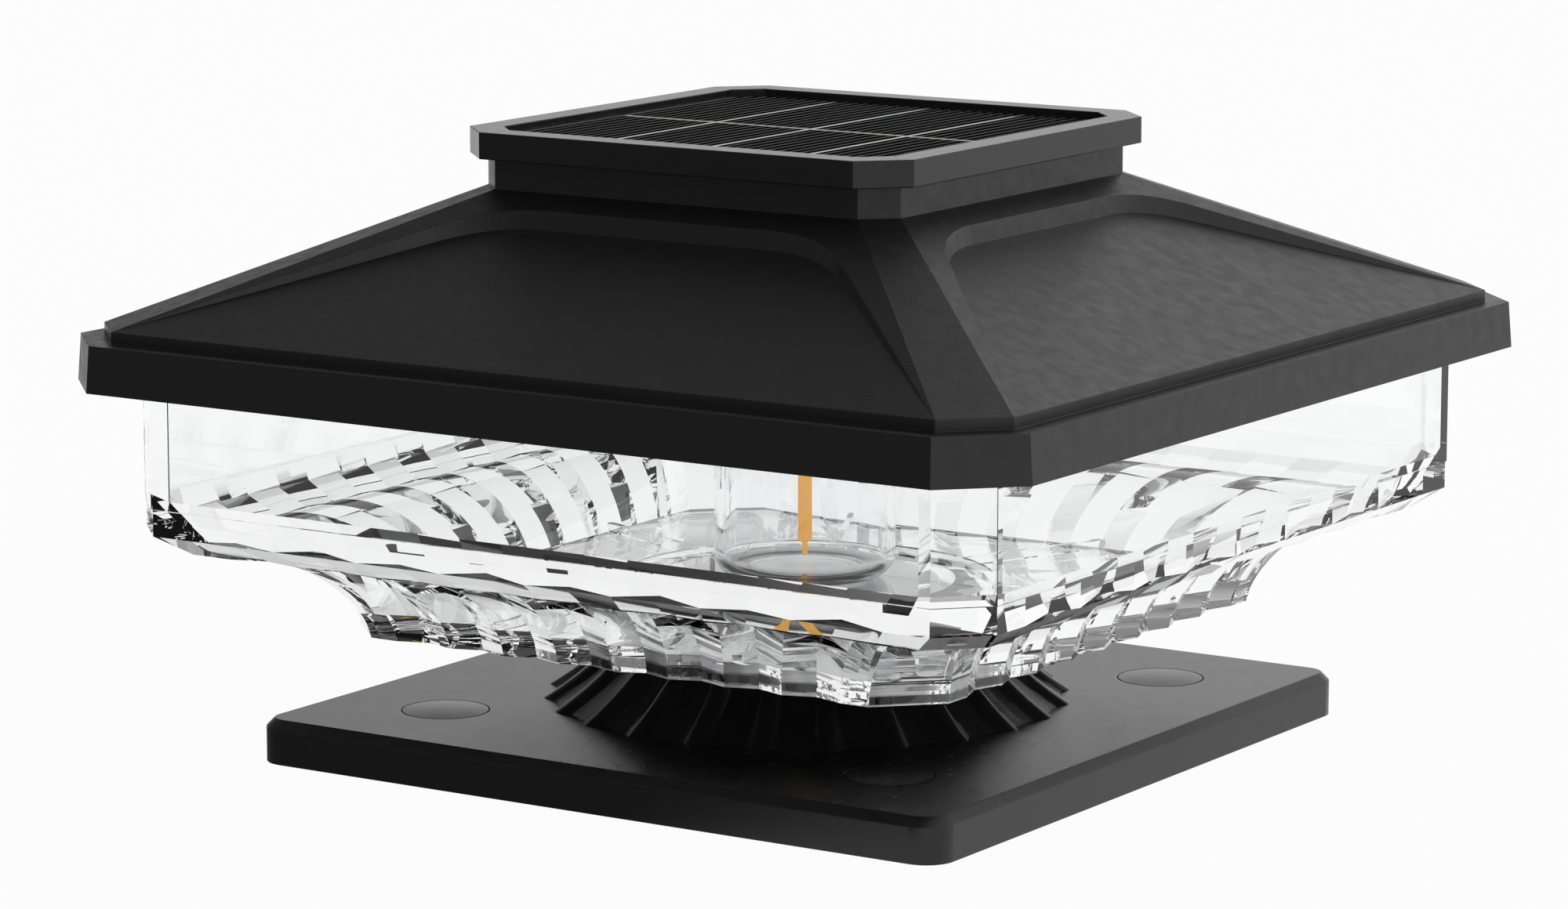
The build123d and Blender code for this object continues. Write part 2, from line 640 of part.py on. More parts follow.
def solar_cells():
    return joined([cell_strip(left + RIBBON_WIDTH, right) for left, right in strip_lefts()])


def cell_ribbons():
    return joined([cell_strip(left, left + RIBBON_WIDTH) for left, right in strip_lefts()])


def panel_cover():
    return panel_slab(CELL_TOP_Z, COVER_TOP_Z)


# Ceiling plate

def ceiling_leg():
    return inset_leg(WALL_LEG, WALL_HALF - CEILING_HALF)


def board_screw_spots():
    inset = BOARD_POST_R + 0.6
    return [(sx * (BOARD_X / 2 - inset), BOARD_CENTRE_Y + sy * (BOARD_Y / 2 - inset)) for sx, sy in CORNERS]


def collar_screw_spots():
    reach = (CUP_FLANGE_R + SLIP + COLLAR_R) / 2
    angles = [radians(30 + 120 * i) for i in range(3)]
    return [(reach * cos(a), reach * sin(a)) for a in angles]


def holder_half_length():
    """Half the inside of the battery holder, from the flat contact to the leaf's wall."""
    return (BATTERY_LENGTH + CONTACT_T + LEAF_REACH) / 2


def holder_outer():
    """Outside length and width of the battery holder."""
    return (2 * (holder_half_length() + HOLDER_WALL), 2 * (BATTERY_R + HOLDER_GAP + HOLDER_WALL))


def holder_screw_spots():
    reach = holder_outer()[0] / 2 + HOLDER_EAR / 2
    return [(-reach, BATTERY_Y), (reach, BATTERY_Y)]


def door_opening():
    """Length and width of the opening through which the battery is changed."""
    return (2 * holder_half_length() - 1, 2 * (BATTERY_R + HOLDER_GAP) - 1)


def door_screw_spots():
    reach = door_opening()[1] / 2 + DOOR_LAP / 2
    return [(0, BATTERY_Y - reach), (0, BATTERY_Y + reach)]


def ceiling_plate():
    plate = prism(CEILING_HALF, ceiling_leg(), CEILING_Z, CEILING_TOP_Z)
    for x, y in post_spots():
        plate -= rod(SCREW_R + SLIP, CEILING_Z, CEILING_TOP_Z, x, y)
    for x, y in board_screw_spots():
        plate += rod(BOARD_POST_R, CEILING_TOP_Z, BOARD_Z, x, y)
        plate -= rod(SMALL_SCREW_R + PILOT, CEILING_Z + CEILING_T / 2, BOARD_Z, x, y)
    for x, y in collar_screw_spots() + door_screw_spots():
        plate -= rod(SMALL_SCREW_R + PILOT, CEILING_Z, CEILING_TOP_Z, x, y)
    for x, y in holder_screw_spots():
        plate -= rod(SMALL_SCREW_R + PILOT, CEILING_Z, CEILING_TOP_Z, x, y)
    plate -= block((0, BATTERY_Y), (*door_opening(), CEILING_T), CEILING_Z)
    plate -= rod(SOCKET_R + SLIP, CEILING_Z, CEILING_TOP_Z)
    plate -= rod(BUTTON_R + SLIP, CEILING_Z, CEILING_TOP_Z, SWITCH_X)
    return plate


def ceiling_screws():
    return joined([screw(x, y, CEILING_Z, CEILING_T + post_bite()) for x, y in post_spots()])


# Bulb

def bulb_cup():
    """Clear cup with a rounded bottom and a flange that bears on the ceiling plate."""
    flange_z = CEILING_Z - CUP_FLANGE_T
    outside = fillet(rod(CUP_R, CUP_BOTTOM_Z, CEILING_Z).edges().sort_by(Axis.Z)[0], CUP_FILLET)
    hollow = rod(CUP_R - CUP_WALL, CUP_BOTTOM_Z + CUP_WALL, CEILING_Z)
    hollow = fillet(hollow.edges().sort_by(Axis.Z)[0], CUP_FILLET - CUP_WALL)
    return outside + rod(CUP_FLANGE_R, flange_z, CEILING_Z) - hollow


def bulb_collar():
    flange_z = CEILING_Z - CUP_FLANGE_T
    low = flange_z - COLLAR_LIP
    ring = tube(COLLAR_R, CUP_R + SLIP, low, CEILING_Z) - rod(CUP_FLANGE_R + SLIP, flange_z, CEILING_Z)
    for x, y in collar_screw_spots():
        ring -= rod(SMALL_SCREW_R + SLIP, low, CEILING_Z, x, y)
    return ring


def collar_screws():
    seat = CEILING_Z - CUP_FLANGE_T - COLLAR_LIP
    return joined([screw(x, y, seat, CEILING_TOP_Z - seat, small=True) for x, y in collar_screw_spots()])


def filament_socket():
    top = CEILING_TOP_Z + SOCKET_FLANGE_T
    body = rod(SOCKET_R, SOCKET_BOTTOM_Z, CEILING_TOP_Z) + rod(SOCKET_FLANGE_R, CEILING_TOP_Z, top)
    return body - rod(LEAD_R + PILOT, SOCKET_BOTTOM_Z, top)


def led_filament():
    return rod(FILAMENT_R, FILAMENT_BOTTOM_Z, SOCKET_BOTTOM_Z)


def filament_leads():
    lower = rod(LEAD_R, CUP_BOTTOM_Z + CUP_WALL, FILAMENT_BOTTOM_Z)
    upper = rod(LEAD_R, SOCKET_BOTTOM_Z, CEILING_TOP_Z + SOCKET_FLANGE_T)
    return joined([lower, upper])


# Battery

def battery():
    """Cell that lies along X with its nub to +X."""
    can_length = BATTERY_LENGTH - NUB_LENGTH
    flat = -holder_half_length() + LEAF_REACH
    can = Cylinder(BATTERY_R, can_length, align=BOTTOM)
    can = fillet(can.edges(), BATTERY_R / 10)
    nub = Pos(0, 0, can_length) * Cylinder(NUB_R, NUB_LENGTH, align=BOTTOM)
    return Pos(flat, BATTERY_Y, BATTERY_Z) * Rot(0, 90, 0) * (can + nub)


def battery_holder():
    length, width = holder_outer()
    height = 2 * BATTERY_R + 2 * HOLDER_GAP + HOLDER_WALL
    inside = (length - 2 * HOLDER_WALL, width - 2 * HOLDER_WALL, height - HOLDER_WALL)
    holder = block((0, BATTERY_Y), (length, width, height), CEILING_TOP_Z)
    holder += block((0, BATTERY_Y), (length + 2 * HOLDER_EAR, HOLDER_EAR, HOLDER_WALL), CEILING_TOP_Z)
    holder -= block((0, BATTERY_Y), inside, CEILING_TOP_Z)
    for x, y in holder_screw_spots():
        holder -= rod(SMALL_SCREW_R + SLIP, CEILING_TOP_Z, CEILING_TOP_Z + HOLDER_WALL, x, y)
    lead_hole = Pos(0, BATTERY_Y, BATTERY_Z) * Rot(0, 90, 0) * Cylinder(WIRE_R + SLIP, 2 * length)
    return holder - lead_hole


def holder_screws():
    seat = CEILING_TOP_Z + HOLDER_WALL
    bite = seat - CEILING_Z
    return joined([screw(x, y, seat, bite, small=True, up=False) for x, y in holder_screw_spots()])


def contact_block(x_low, thick):
    height = 2 * BATTERY_R - CONTACT_T
    return block((x_low + thick / 2, BATTERY_Y), (thick, CONTACT_WIDTH, height), BATTERY_Z - height / 2)


def contact_plate():
    return contact_block(holder_half_length() - CONTACT_T, CONTACT_T)


def contact_leaf():
    """Strip on the end wall with a bowed leaf that presses on the battery's flat end."""
    wall = -holder_half_length()
    back = wall + CONTACT_T
    tip = wall + LEAF_REACH
    low, high = BATTERY_Z - BATTERY_R / 2, BATTERY_Z + BATTERY_R / 2
    bow = Polygon((back, low), (tip, BATTERY_Z - CONTACT_T), (tip, BATTERY_Z + CONTACT_T), (back, high),
                  (back, high - 2 * CONTACT_T), (tip - CONTACT_T, BATTERY_Z + CONTACT_T / 2),
                  (tip - CONTACT_T, BATTERY_Z - CONTACT_T / 2), (back, low + 2 * CONTACT_T), align=None)
    leaf = extrude(Plane.XZ * bow, amount=CONTACT_WIDTH / 2, both=True)
    return contact_block(wall, CONTACT_T) + Pos(0, BATTERY_Y, 0) * leaf


def battery_door():
    length, width = door_opening()
    door = block((0, BATTERY_Y), (length + 2 * DOOR_LAP, width + 2 * DOOR_LAP, DOOR_T), CEILING_Z - DOOR_T)
    pad_top = BATTERY_Z - BATTERY_R
    pad = (DOOR_PAD, width - 2 * SLIP, pad_top - CEILING_Z)
    for x in (-length / 4, length / 4):
        door += block((x, BATTERY_Y), pad, CEILING_Z)
    for x, y in door_screw_spots():
        door -= rod(SMALL_SCREW_R + SLIP, CEILING_Z - DOOR_T, CEILING_Z, x, y)
    return door


def door_screws():
    seat = CEILING_Z - DOOR_T
    bite = CEILING_TOP_Z - seat
    return joined([screw(x, y, seat, bite, small=True) for x, y in door_screw_spots()])


# Control board

def control_board():
    board = block((0, BOARD_CENTRE_Y), (BOARD_X, BOARD_Y, BOARD_T), BOARD_Z)
    for x, y in board_screw_spots():
        board -= rod(SMALL_SCREW_R + SLIP, BOARD_Z, BOARD_TOP_Z, x, y)
    return board


def board_parts():
    chip = block((0, BOARD_CENTRE_Y), CHIP, BOARD_TOP_Z)
    coil = rod(COIL_R, BOARD_TOP_Z, BOARD_TOP_Z + COIL_HEIGHT, -BOARD_X / 4, BOARD_CENTRE_Y)
    capacitor = rod(CAPACITOR_R, BOARD_TOP_Z, BOARD_TOP_Z + CAPACITOR_HEIGHT, BOARD_X / 4, BOARD_CENTRE_Y)
    return joined([chip, fillet(coil.edges(), COIL_R / 5), fillet(capacitor.edges(), CAPACITOR_R / 5)])


def board_screws():
    bite = BOARD_T + BOARD_LIFT
    return joined([screw(x, y, BOARD_TOP_Z, bite, small=True, up=False) for x, y in board_screw_spots()])


# Push switch

def switch_body():
    cavity_r = BUTTON_R + BUTTON_FLANGE + SLIP
    cavity_top = CEILING_TOP_Z + BUTTON_FLANGE_T + BUTTON_TRAVEL + SLIP
    side = 2 * (cavity_r + SWITCH_WALL)
    body = block((SWITCH_X, 0), (side, side, cavity_top + SWITCH_ROOF - CEILING_TOP_Z), CEILING_TOP_Z)
    return body - rod(cavity_r, CEILING_TOP_Z, cavity_top, SWITCH_X)


def switch_button():
    cap = rod(BUTTON_R, CEILING_Z - BUTTON_PROUD, CEILING_TOP_Z, SWITCH_X)
    cap = fillet(cap.edges().sort_by(Axis.Z)[0], BUTTON_EDGE)
    return cap + rod(BUTTON_R + BUTTON_FLANGE, CEILING_TOP_Z, CEILING_TOP_Z + BUTTON_FLANGE_T, SWITCH_X)


# Insulated leads

def lead(*route):
    """Round wire along straight runs with rounded corners."""
    path = FilletPolyline(*route, radius=WIRE_BEND)
    end = Plane(origin=path @ 0, z_dir=path % 0)
    return sweep(end * Circle(WIRE_R), path=path)


def solder_y():
    """Row of solder points near the board's inner edge."""
    return BOARD_CENTRE_Y + BOARD_Y / 4


def panel_lead(x):
    """From the panel's back, down and across to the board."""
    turn_z = (BACKING_BOTTOM_Z + BOARD_TOP_Z) / 2
    return lead((x, 0, BACKING_BOTTOM_Z), (x, 0, turn_z), (x, solder_y(), turn_z), (x, solder_y(), BOARD_TOP_Z))


def battery_lead(side):
    """From a contact, out through the holder's end wall and along the ceiling to the board."""
    wall = side * holder_half_length()
    out = wall + side * BATTERY_WIRE_OUT
    end = side * WIRE_END_X
    return lead((wall, BATTERY_Y, BATTERY_Z), (out, BATTERY_Y, BATTERY_Z), (out, solder_y(), WIRE_Z),
                (end, solder_y(), WIRE_Z), (end, solder_y(), BOARD_TOP_Z))


def filament_wire():
    """From the top of the filament's socket to the board."""
    start = CEILING_TOP_Z + SOCKET_FLANGE_T
    return lead((0, 0, start), (0, 0, WIRE_Z), (0, solder_y(), WIRE_Z), (0, solder_y(), BOARD_TOP_Z))


NODES = {
    "base_plate": base_plate,
    "hole_plugs": hole_plugs,
    "pedestal": pedestal,
    "pedestal_screws": pedestal_screws,
    "diffuser": diffuser,
    "diffuser_gasket": diffuser_gasket,
    "roof_shell": roof_shell,
    "panel_frame": panel_frame,
    "frame_screws": frame_screws,
    "panel_tape": panel_tape,
    "panel_backing": panel_backing,
    "solar_cells": solar_cells,
    "cell_ribbons": cell_ribbons,
    "panel_cover": panel_cover,
    "ceiling_plate": ceiling_plate,
    "ceiling_screws": ceiling_screws,
    "bulb_cup": bulb_cup,
    "bulb_collar": bulb_collar,
    "collar_screws": collar_screws,
    "filament_socket": filament_socket,
    "led_filament": led_filament,
    "filament_leads": filament_leads,
    "battery": battery,
    "battery_holder": battery_holder,
    "holder_screws": holder_screws,
    "contact_plate": contact_plate,
    "contact_leaf": contact_leaf,
    "battery_door": battery_door,
    "door_screws": door_screws,
    "control_board": control_board,
    "board_parts": board_parts,
    "board_screws": board_screws,
    "switch_body": switch_body,
    "switch_button": switch_button,
    "panel_lead_red": lambda: panel_lead(PANEL_WIRE_X),
    "panel_lead_black": lambda: panel_lead(-PANEL_WIRE_X),
    "battery_lead_red": lambda: battery_lead(1),
    "battery_lead_black": lambda: battery_lead(-1),
    "filament_wire": filament_wire,
}

os.makedirs("parts", exist_ok=True)
for node, build in NODES.items():
    export_step(build(), f"parts/{node}.step")
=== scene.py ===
"""Solar post top light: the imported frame, dressed and set in a plain studio."""

import json
import logging
import math
from dataclasses import dataclass, field
from enum import Enum
from typing import Sequence

import bmesh
import bpy
from bmesh.types import BMesh, BMVert
from bpy.types import Material, Node, NodeSocket, NodeTree, Object
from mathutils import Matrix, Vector

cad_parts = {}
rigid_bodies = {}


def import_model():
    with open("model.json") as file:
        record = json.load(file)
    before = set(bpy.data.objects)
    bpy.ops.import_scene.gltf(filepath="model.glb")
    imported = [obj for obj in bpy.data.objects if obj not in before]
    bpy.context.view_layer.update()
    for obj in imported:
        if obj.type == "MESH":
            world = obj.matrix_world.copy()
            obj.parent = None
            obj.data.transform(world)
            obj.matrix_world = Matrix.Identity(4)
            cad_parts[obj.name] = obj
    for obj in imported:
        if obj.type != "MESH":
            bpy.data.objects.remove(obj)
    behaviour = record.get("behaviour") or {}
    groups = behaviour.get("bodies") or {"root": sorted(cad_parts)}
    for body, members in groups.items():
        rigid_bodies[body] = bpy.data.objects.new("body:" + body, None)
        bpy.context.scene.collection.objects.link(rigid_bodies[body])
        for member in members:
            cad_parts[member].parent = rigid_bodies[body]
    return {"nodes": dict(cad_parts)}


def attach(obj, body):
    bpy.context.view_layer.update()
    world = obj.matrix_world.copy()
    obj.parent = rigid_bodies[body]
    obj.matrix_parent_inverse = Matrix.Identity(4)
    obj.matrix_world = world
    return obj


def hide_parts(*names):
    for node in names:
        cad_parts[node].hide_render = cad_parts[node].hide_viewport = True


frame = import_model()

LOG = logging.getLogger("post_light")
MM = 0.001
# Metres below which two corners count as one and two heights as equal
SAME_SPOT = 1e-6
SAME_LEVEL = 1e-7
SIDES = 4
DIAGONAL = math.sqrt(0.5)
NOISE_SPAN = (0.3, 0.7)
Point2 = tuple[float, float]
Point3 = tuple[float, float, float]
Value = NodeSocket | float | Sequence[float]


class Body(Enum):
    """Rigid bodies that carry modelled pieces."""

    BASE = "base"
    BOWL = "bowl"
    TOP = "top"


class Bench:
    """Hand tools that every sub-assembly shares."""

    @staticmethod
    def take(obj: Object) -> None:
        """Select one object alone and make it active.

        Args:
            obj: Object that the next operator works on.
        """
        for other in bpy.context.view_layer.objects:
            other.select_set(False)
        obj.select_set(True)
        bpy.context.view_layer.objects.active = obj

    @staticmethod
    def mesh_object(name: str, shape: BMesh) -> Object:
        """Turn a finished bmesh into an object at the origin.

        Args:
            name: Name of the object and its mesh.
            shape: Closed shape in metres, freed here.

        Returns:
            The new object.
        """
        mesh = bpy.data.meshes.new(name)
        shape.to_mesh(mesh)
        shape.free()
        obj = bpy.data.objects.new(name, mesh)
        bpy.context.scene.collection.objects.link(obj)
        return obj

    @staticmethod
    def lathe(name: str, profile: Sequence[Point2], steps: int = 96) -> Object:
        """Spin a closed half section about the lamp's axis.

        Args:
            name: Name of the object.
            profile: Radius and height of each corner in millimetres, in order, both ends on the axis.
            steps: Divisions of the full turn.

        Returns:
            The turned object with outward faces.
        """
        shape = bmesh.new()
        verts = [shape.verts.new((r * MM, 0.0, z * MM)) for r, z in profile]
        edges = [shape.edges.new(pair) for pair in zip(verts, verts[1:])]
        bmesh.ops.spin(shape, geom=verts + edges, cent=(0, 0, 0), axis=(0, 0, 1), angle=2 * math.pi,
                       steps=steps, use_merge=True)
        bmesh.ops.remove_doubles(shape, verts=shape.verts, dist=SAME_SPOT)
        bmesh.ops.recalc_face_normals(shape, faces=shape.faces)
        return Bench.mesh_object(name, shape)

    @staticmethod
    def block(name: str, low: Point3, high: Point3) -> Object:
        """Add a box between two corners given in millimetres.

        Args:
            name: Name of the object.
            low: Lowest corner.
            high: Highest corner.

        Returns:
            The box, with its place in its mesh.
        """
        size = [(b - a) * MM for a, b in zip(low, high)]
        middle = [(a + b) / 2 * MM for a, b in zip(low, high)]
        bpy.ops.mesh.primitive_cube_add(size=1.0, location=middle, scale=size)
        obj = bpy.context.object
        obj.name = obj.data.name = name
        bpy.ops.object.transform_apply(location=True, rotation=True, scale=True)
        return obj

    @staticmethod
    def turn(obj: Object, degrees: float) -> None:
        """Turn a mesh about the lamp's axis.

        Args:
            obj: Object whose mesh turns.
            degrees: Angle against the clock.
        """
        angle = math.radians(degrees)
        c, s = math.cos(angle), math.sin(angle)
        for vert in obj.data.vertices:
            x, y, z = vert.co
            vert.co = (x * c - y * s, x * s + y * c, z)

    @staticmethod
    def combine(obj: Object, tool: Object, operation: str) -> None:
        """Join, cut or intersect a piece with a tool and throw the tool away.

        Args:
            obj: Piece that is kept.
            tool: Closed shape that is used up.
            operation: UNION, DIFFERENCE or INTERSECT.
        """
        Bench.take(obj)
        boolean = obj.modifiers.new("combine", "BOOLEAN")
        boolean.operation = operation
        boolean.object = tool
        boolean.solver = "EXACT"
        bpy.ops.object.modifier_apply(modifier=boolean.name)
        mesh = tool.data
        bpy.data.objects.remove(tool)
        bpy.data.meshes.remove(mesh)

    @staticmethod
    def smooth(obj: Object, degrees: float) -> None:
        """Shade a piece smooth across edges flatter than an angle."""
        Bench.take(obj)
        bpy.ops.object.shade_smooth_by_angle(angle=math.radians(degrees))

    @staticmethod
    def place(obj: Object, body: Body, slot: str, *nodes: str) -> None:
        """Let a finished piece ride on a body in place of CAD nodes.

        Args:
            obj: Finished piece.
            body: Body that carries it.
            slot: Material slot of the record that its finish stands for; not used.
            nodes: CAD nodes that it replaces.
        """
        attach(obj, body.value)
        if nodes:
            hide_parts(*nodes)
        LOG.info("%s rides on %s", obj.name, body.value)


class Nodes:
    """Shader nodes of one tree."""

    def __init__(self, tree: NodeTree) -> None:
        """Take a tree over and empty it."""
        self.tree = tree
        tree.nodes.clear()

    def put(self, socket: NodeSocket, value: Value) -> None:
        """Link an output into an input, or set a plain number or colour there.

        Args:
            socket: Input.
            value: Output, number or colour.
        """
        if isinstance(value, NodeSocket):
            self.tree.links.new(value, socket)
        else:
            socket.default_value = value

    def fill(self, node: Node, **values: Value) -> None:
        """Give inputs of a node their values, named with underscores for spaces."""
        for key, value in values.items():
            self.put(node.inputs[key.replace("_", " ")], value)

    def add(self, kind: str, **values: Value) -> Node:
        """Add a node.

        Args:
            kind: Blender's name of the node.
            values: Values of its inputs.

        Returns:
            The node.
        """
        node = self.tree.nodes.new(kind)
        self.fill(node, **values)
        return node

    def math(self, kind: str, first: Value, second: Value = 0.0) -> NodeSocket:
        """One arithmetic step between two values.

        Args:
            kind: Blender's name of the operation.
            first: Value before the sign.
            second: Value after the sign.

        Returns:
            The result.
        """
        node = self.add("ShaderNodeMath")
        node.operation = kind
        self.put(node.inputs[0], first)
        self.put(node.inputs[1], second)
        return node.outputs["Value"]

    def ramp(self, value: NodeSocket, span: Point2, levels: Point2, kind: str = "LINEAR") -> NodeSocket:
        """Map one range of a value onto another, clamped.

        Args:
            value: Value to map.
            span: Start and end of its range.
            levels: Results at the start and at the end.
            kind: Blender's name of the way between them.

        Returns:
            The mapped value.
        """
        node = self.add("ShaderNodeMapRange", Value=value, From_Min=span[0], From_Max=span[1],
                        To_Min=levels[0], To_Max=levels[1])
        node.interpolation_type = kind
        return node.outputs["Result"]

    def facing(self, heading: NodeSocket, target: Point3, span: Point2, levels: Point2) -> NodeSocket:
        """Soft step between two levels by how much a heading points to a target.

        Args:
            heading: Unit direction.
            target: Direction that counts as full.
            span: Cosines at which the step starts and ends.
            levels: Results before and after the step.

        Returns:
            The level.
        """
        toward = self.add("ShaderNodeVectorMath")
        toward.operation = "DOT_PRODUCT"
        self.put(toward.inputs[0], heading)
        self.put(toward.inputs[1], Vector(target).normalized())
        return self.ramp(toward.outputs["Value"], span, levels, "SMOOTHSTEP")


class Palette(Nodes):
    """Shader nodes of one material round its main shader."""

    def __init__(self, name: str) -> None:
        """Start a material with its output and main shader.

        Args:
            name: Name of the material.
        """
        self.material = bpy.data.materials.new(name)
        self.material.use_nodes = True
        super().__init__(self.material.node_tree)
        self.shader = self.add("ShaderNodeBsdfPrincipled")
        self.add("ShaderNodeOutputMaterial", Surface=self.shader.outputs["BSDF"])
        self.coords = self.add("ShaderNodeTexCoord")

    def set(self, **values: Value) -> None:
        """Give inputs of the main shader their values."""
        self.fill(self.shader, **values)

    def noise(self, size_mm: float, detail: float = 3.0, stretch: Point3 = (1, 1, 1)) -> NodeSocket:
        """Noise whose blotches have a given size.

        Args:
            size_mm: Size of one blotch.
            detail: Octaves of finer noise.
            stretch: How much the pattern is squeezed along each axis.

        Returns:
            The noise value.
        """
        mapping = self.add("ShaderNodeMapping", Vector=self.coords.outputs["Object"], Scale=stretch)
        noise = self.add("ShaderNodeTexNoise", Vector=mapping.outputs["Vector"], Scale=1.0 / (size_mm * MM),
                         Detail=detail)
        return noise.outputs["Fac"]

    def blend(self, share: NodeSocket, first: NodeSocket | Point3, second: Point3) -> NodeSocket:
        """Colour between two colours by a share.

        Args:
            share: How much of the second colour shows.
            first: Colour at a share of 0.
            second: Colour at a share of 1.

        Returns:
            The mixed colour.
        """
        node = self.add("ShaderNodeMix")
        node.data_type = "RGBA"
        under = first if isinstance(first, NodeSocket) else (*first, 1.0)
        self.fill(node, Factor=share, A=under, B=(*second, 1.0))
        return node.outputs["Result"]

    def axis(self, letter: str) -> NodeSocket:
        """One of the piece's own coordinates in metres."""
        return self.add("ShaderNodeSeparateXYZ", Vector=self.coords.outputs["Object"]).outputs[letter]

    def bump(self, height: NodeSocket, depth_mm: float, strength: Value = 1.0) -> None:
        """Raise the surface by a height pattern of a given depth, all of it or a share."""
        node = self.add("ShaderNodeBump", Height=height, Distance=depth_mm * MM, Strength=strength)
        self.set(Normal=node.outputs["Normal"])


@dataclass(frozen=True)
class Moulding:
    """Moulded plastic with a faint mottle, uneven gloss and a surface grain."""

    name: str
    colour: Point3
    lighter: Point3
    gloss: Point2
    grain_mm: float
    grain_depth_mm: float = 0.01
    grain_heights_mm: Point2 | None = None
    shine: float = 0.5
    mottle_mm: float = 9.0
    gloss_patch_mm: float = 3.0
    grain_detail: float = 2.0
    grain_fade_mm: float = 0.2
    smooth_share: float = 0.08

    def material(self) -> Material:
        """Make the material.

        Returns:
            The material.
        """
        book = Palette(self.name)
        tone = book.blend(book.noise(self.mottle_mm), self.colour, self.lighter)
        gloss = book.ramp(book.noise(self.gloss_patch_mm), NOISE_SPAN, self.gloss)
        book.set(Base_Color=tone, Roughness=gloss, Specular_IOR_Level=self.shine)
        strength = 1.0
        if self.grain_heights_mm is not None:
            low, high = self.grain_heights_mm
            height = book.axis("Z")
            rise = book.ramp(height, (low * MM, (low + self.grain_fade_mm) * MM), (self.smooth_share, 1.0))
            fall = book.ramp(height, (high * MM, (high + self.grain_fade_mm) * MM), (1.0, self.smooth_share))
            strength = book.math("MULTIPLY", rise, fall)
        book.bump(book.noise(self.grain_mm, self.grain_detail), self.grain_depth_mm, strength)
        return book.material


@dataclass(frozen=True)
class Clear:
    """Polished clear plastic."""

    name: str
    tint: Point3
    index: float
    flow_mm: float = 25.0
    flow_detail: float = 1.0
    flow_lift: float = 0.01

    def material(self) -> Material:
        """Make the material.

        Returns:
            The material.
        """
        book = Palette(self.name)
        brighter = tuple(min(1.0, value + self.flow_lift) for value in self.tint)
        tone = book.blend(book.noise(self.flow_mm, self.flow_detail), self.tint, brighter)
        book.set(Base_Color=tone, Transmission_Weight=1.0, IOR=self.index, Roughness=0.0)
        return book.material


@dataclass(frozen=True)
class Resin:
    """Clear resin over the cells that hardly shines."""

    name: str
    tint: Point3
    sheen_share: float
    roughness: float = 0.25
    index: float = 1.35
    cloud_mm: float = 4.0

    def material(self) -> Material:
        """Make the material.

        Returns:
            The material.
        """
        book = Palette(self.name)
        tone = book.blend(book.noise(self.cloud_mm), self.tint, (0.0, 0.0, 0.0))
        book.set(Base_Color=tone, Roughness=self.roughness, IOR=self.index, Alpha=self.sheen_share)
        return book.material


@dataclass(frozen=True)
class Silicon:
    """Dark solar cell with fine silver fingers across it and one bus bar."""

    name: str
    colour: Point3
    finger_colour: Point3
    finger_pitch_mm: float
    finger_width_mm: float
    bus_colour: Point3
    bus_width_mm: float
    gloss: Point2 = (0.5, 0.65)
    gloss_patch_mm: float = 2.0
    crystal_mm: float = 6.0
    crystal_detail: float = 4.0
    crystal_lift: float = 2.0

    def material(self) -> Material:
        """Make the material.

        Returns:
            The material.
        """
        book = Palette(self.name)
        across = book.math("DIVIDE", book.axis("X"), self.finger_pitch_mm * MM)
        phase = book.math("FRACT", across)
        finger = book.math("LESS_THAN", phase, self.finger_width_mm / self.finger_pitch_mm)
        reach = book.math("ABSOLUTE", book.axis("Y"))
        bus = book.math("LESS_THAN", reach, self.bus_width_mm / 2 * MM)
        lighter = tuple(self.crystal_lift * value for value in self.colour)
        tone = book.blend(book.noise(self.crystal_mm, self.crystal_detail), self.colour, lighter)
        for lines, colour in ((finger, self.finger_colour), (bus, self.bus_colour)):
            tone = book.blend(lines, tone, colour)
        gloss = book.ramp(book.noise(self.gloss_patch_mm), NOISE_SPAN, self.gloss)
        book.set(Base_Color=tone, Roughness=gloss, Specular_IOR_Level=0.0)
        return book.material


@dataclass(frozen=True)
class Metal:
    """Plated or tinned metal with fine drawn streaks."""

    name: str
    colour: Point3
    gloss: Point2
    streak: Point3 = (1.0, 1.0, 12.0)
    streak_mm: float = 1.2
    streak_depth_mm: float = 0.01
    dark_share: float = 0.85

    def material(self) -> Material:
        """Make the material.

        Returns:
            The material.
        """
        book = Palette(self.name)
        darker = tuple(self.dark_share * value for value in self.colour)
        streaks = book.noise(self.streak_mm, stretch=self.streak)
        tone = book.blend(streaks, darker, self.colour)
        book.set(Base_Color=tone, Roughness=book.ramp(streaks, NOISE_SPAN, self.gloss), Metallic=1.0)
        book.bump(streaks, self.streak_depth_mm)
        return book.material


@dataclass(frozen=True)
class Phosphor:
    """Grainy amber coating of the filament, with a faint glow."""

    name: str
    colour: Point3
    deeper: Point3
    glow: float
    roughness: float = 0.55
    shine: float = 0.2
    mottle_mm: float = 1.0
    grain_mm: float = 0.3
    grain_depth_mm: float = 0.03

    def material(self) -> Material:
        """Make the material.

        Returns:
            The material.
        """
        book = Palette(self.name)
        tone = book.blend(book.noise(self.mottle_mm), self.deeper, self.colour)
        book.set(Base_Color=tone, Emission_Color=tone, Emission_Strength=self.glow)
        book.set(Roughness=self.roughness, Specular_IOR_Level=self.shine)
        book.bump(book.noise(self.grain_mm), self.grain_depth_mm)
        return book.material


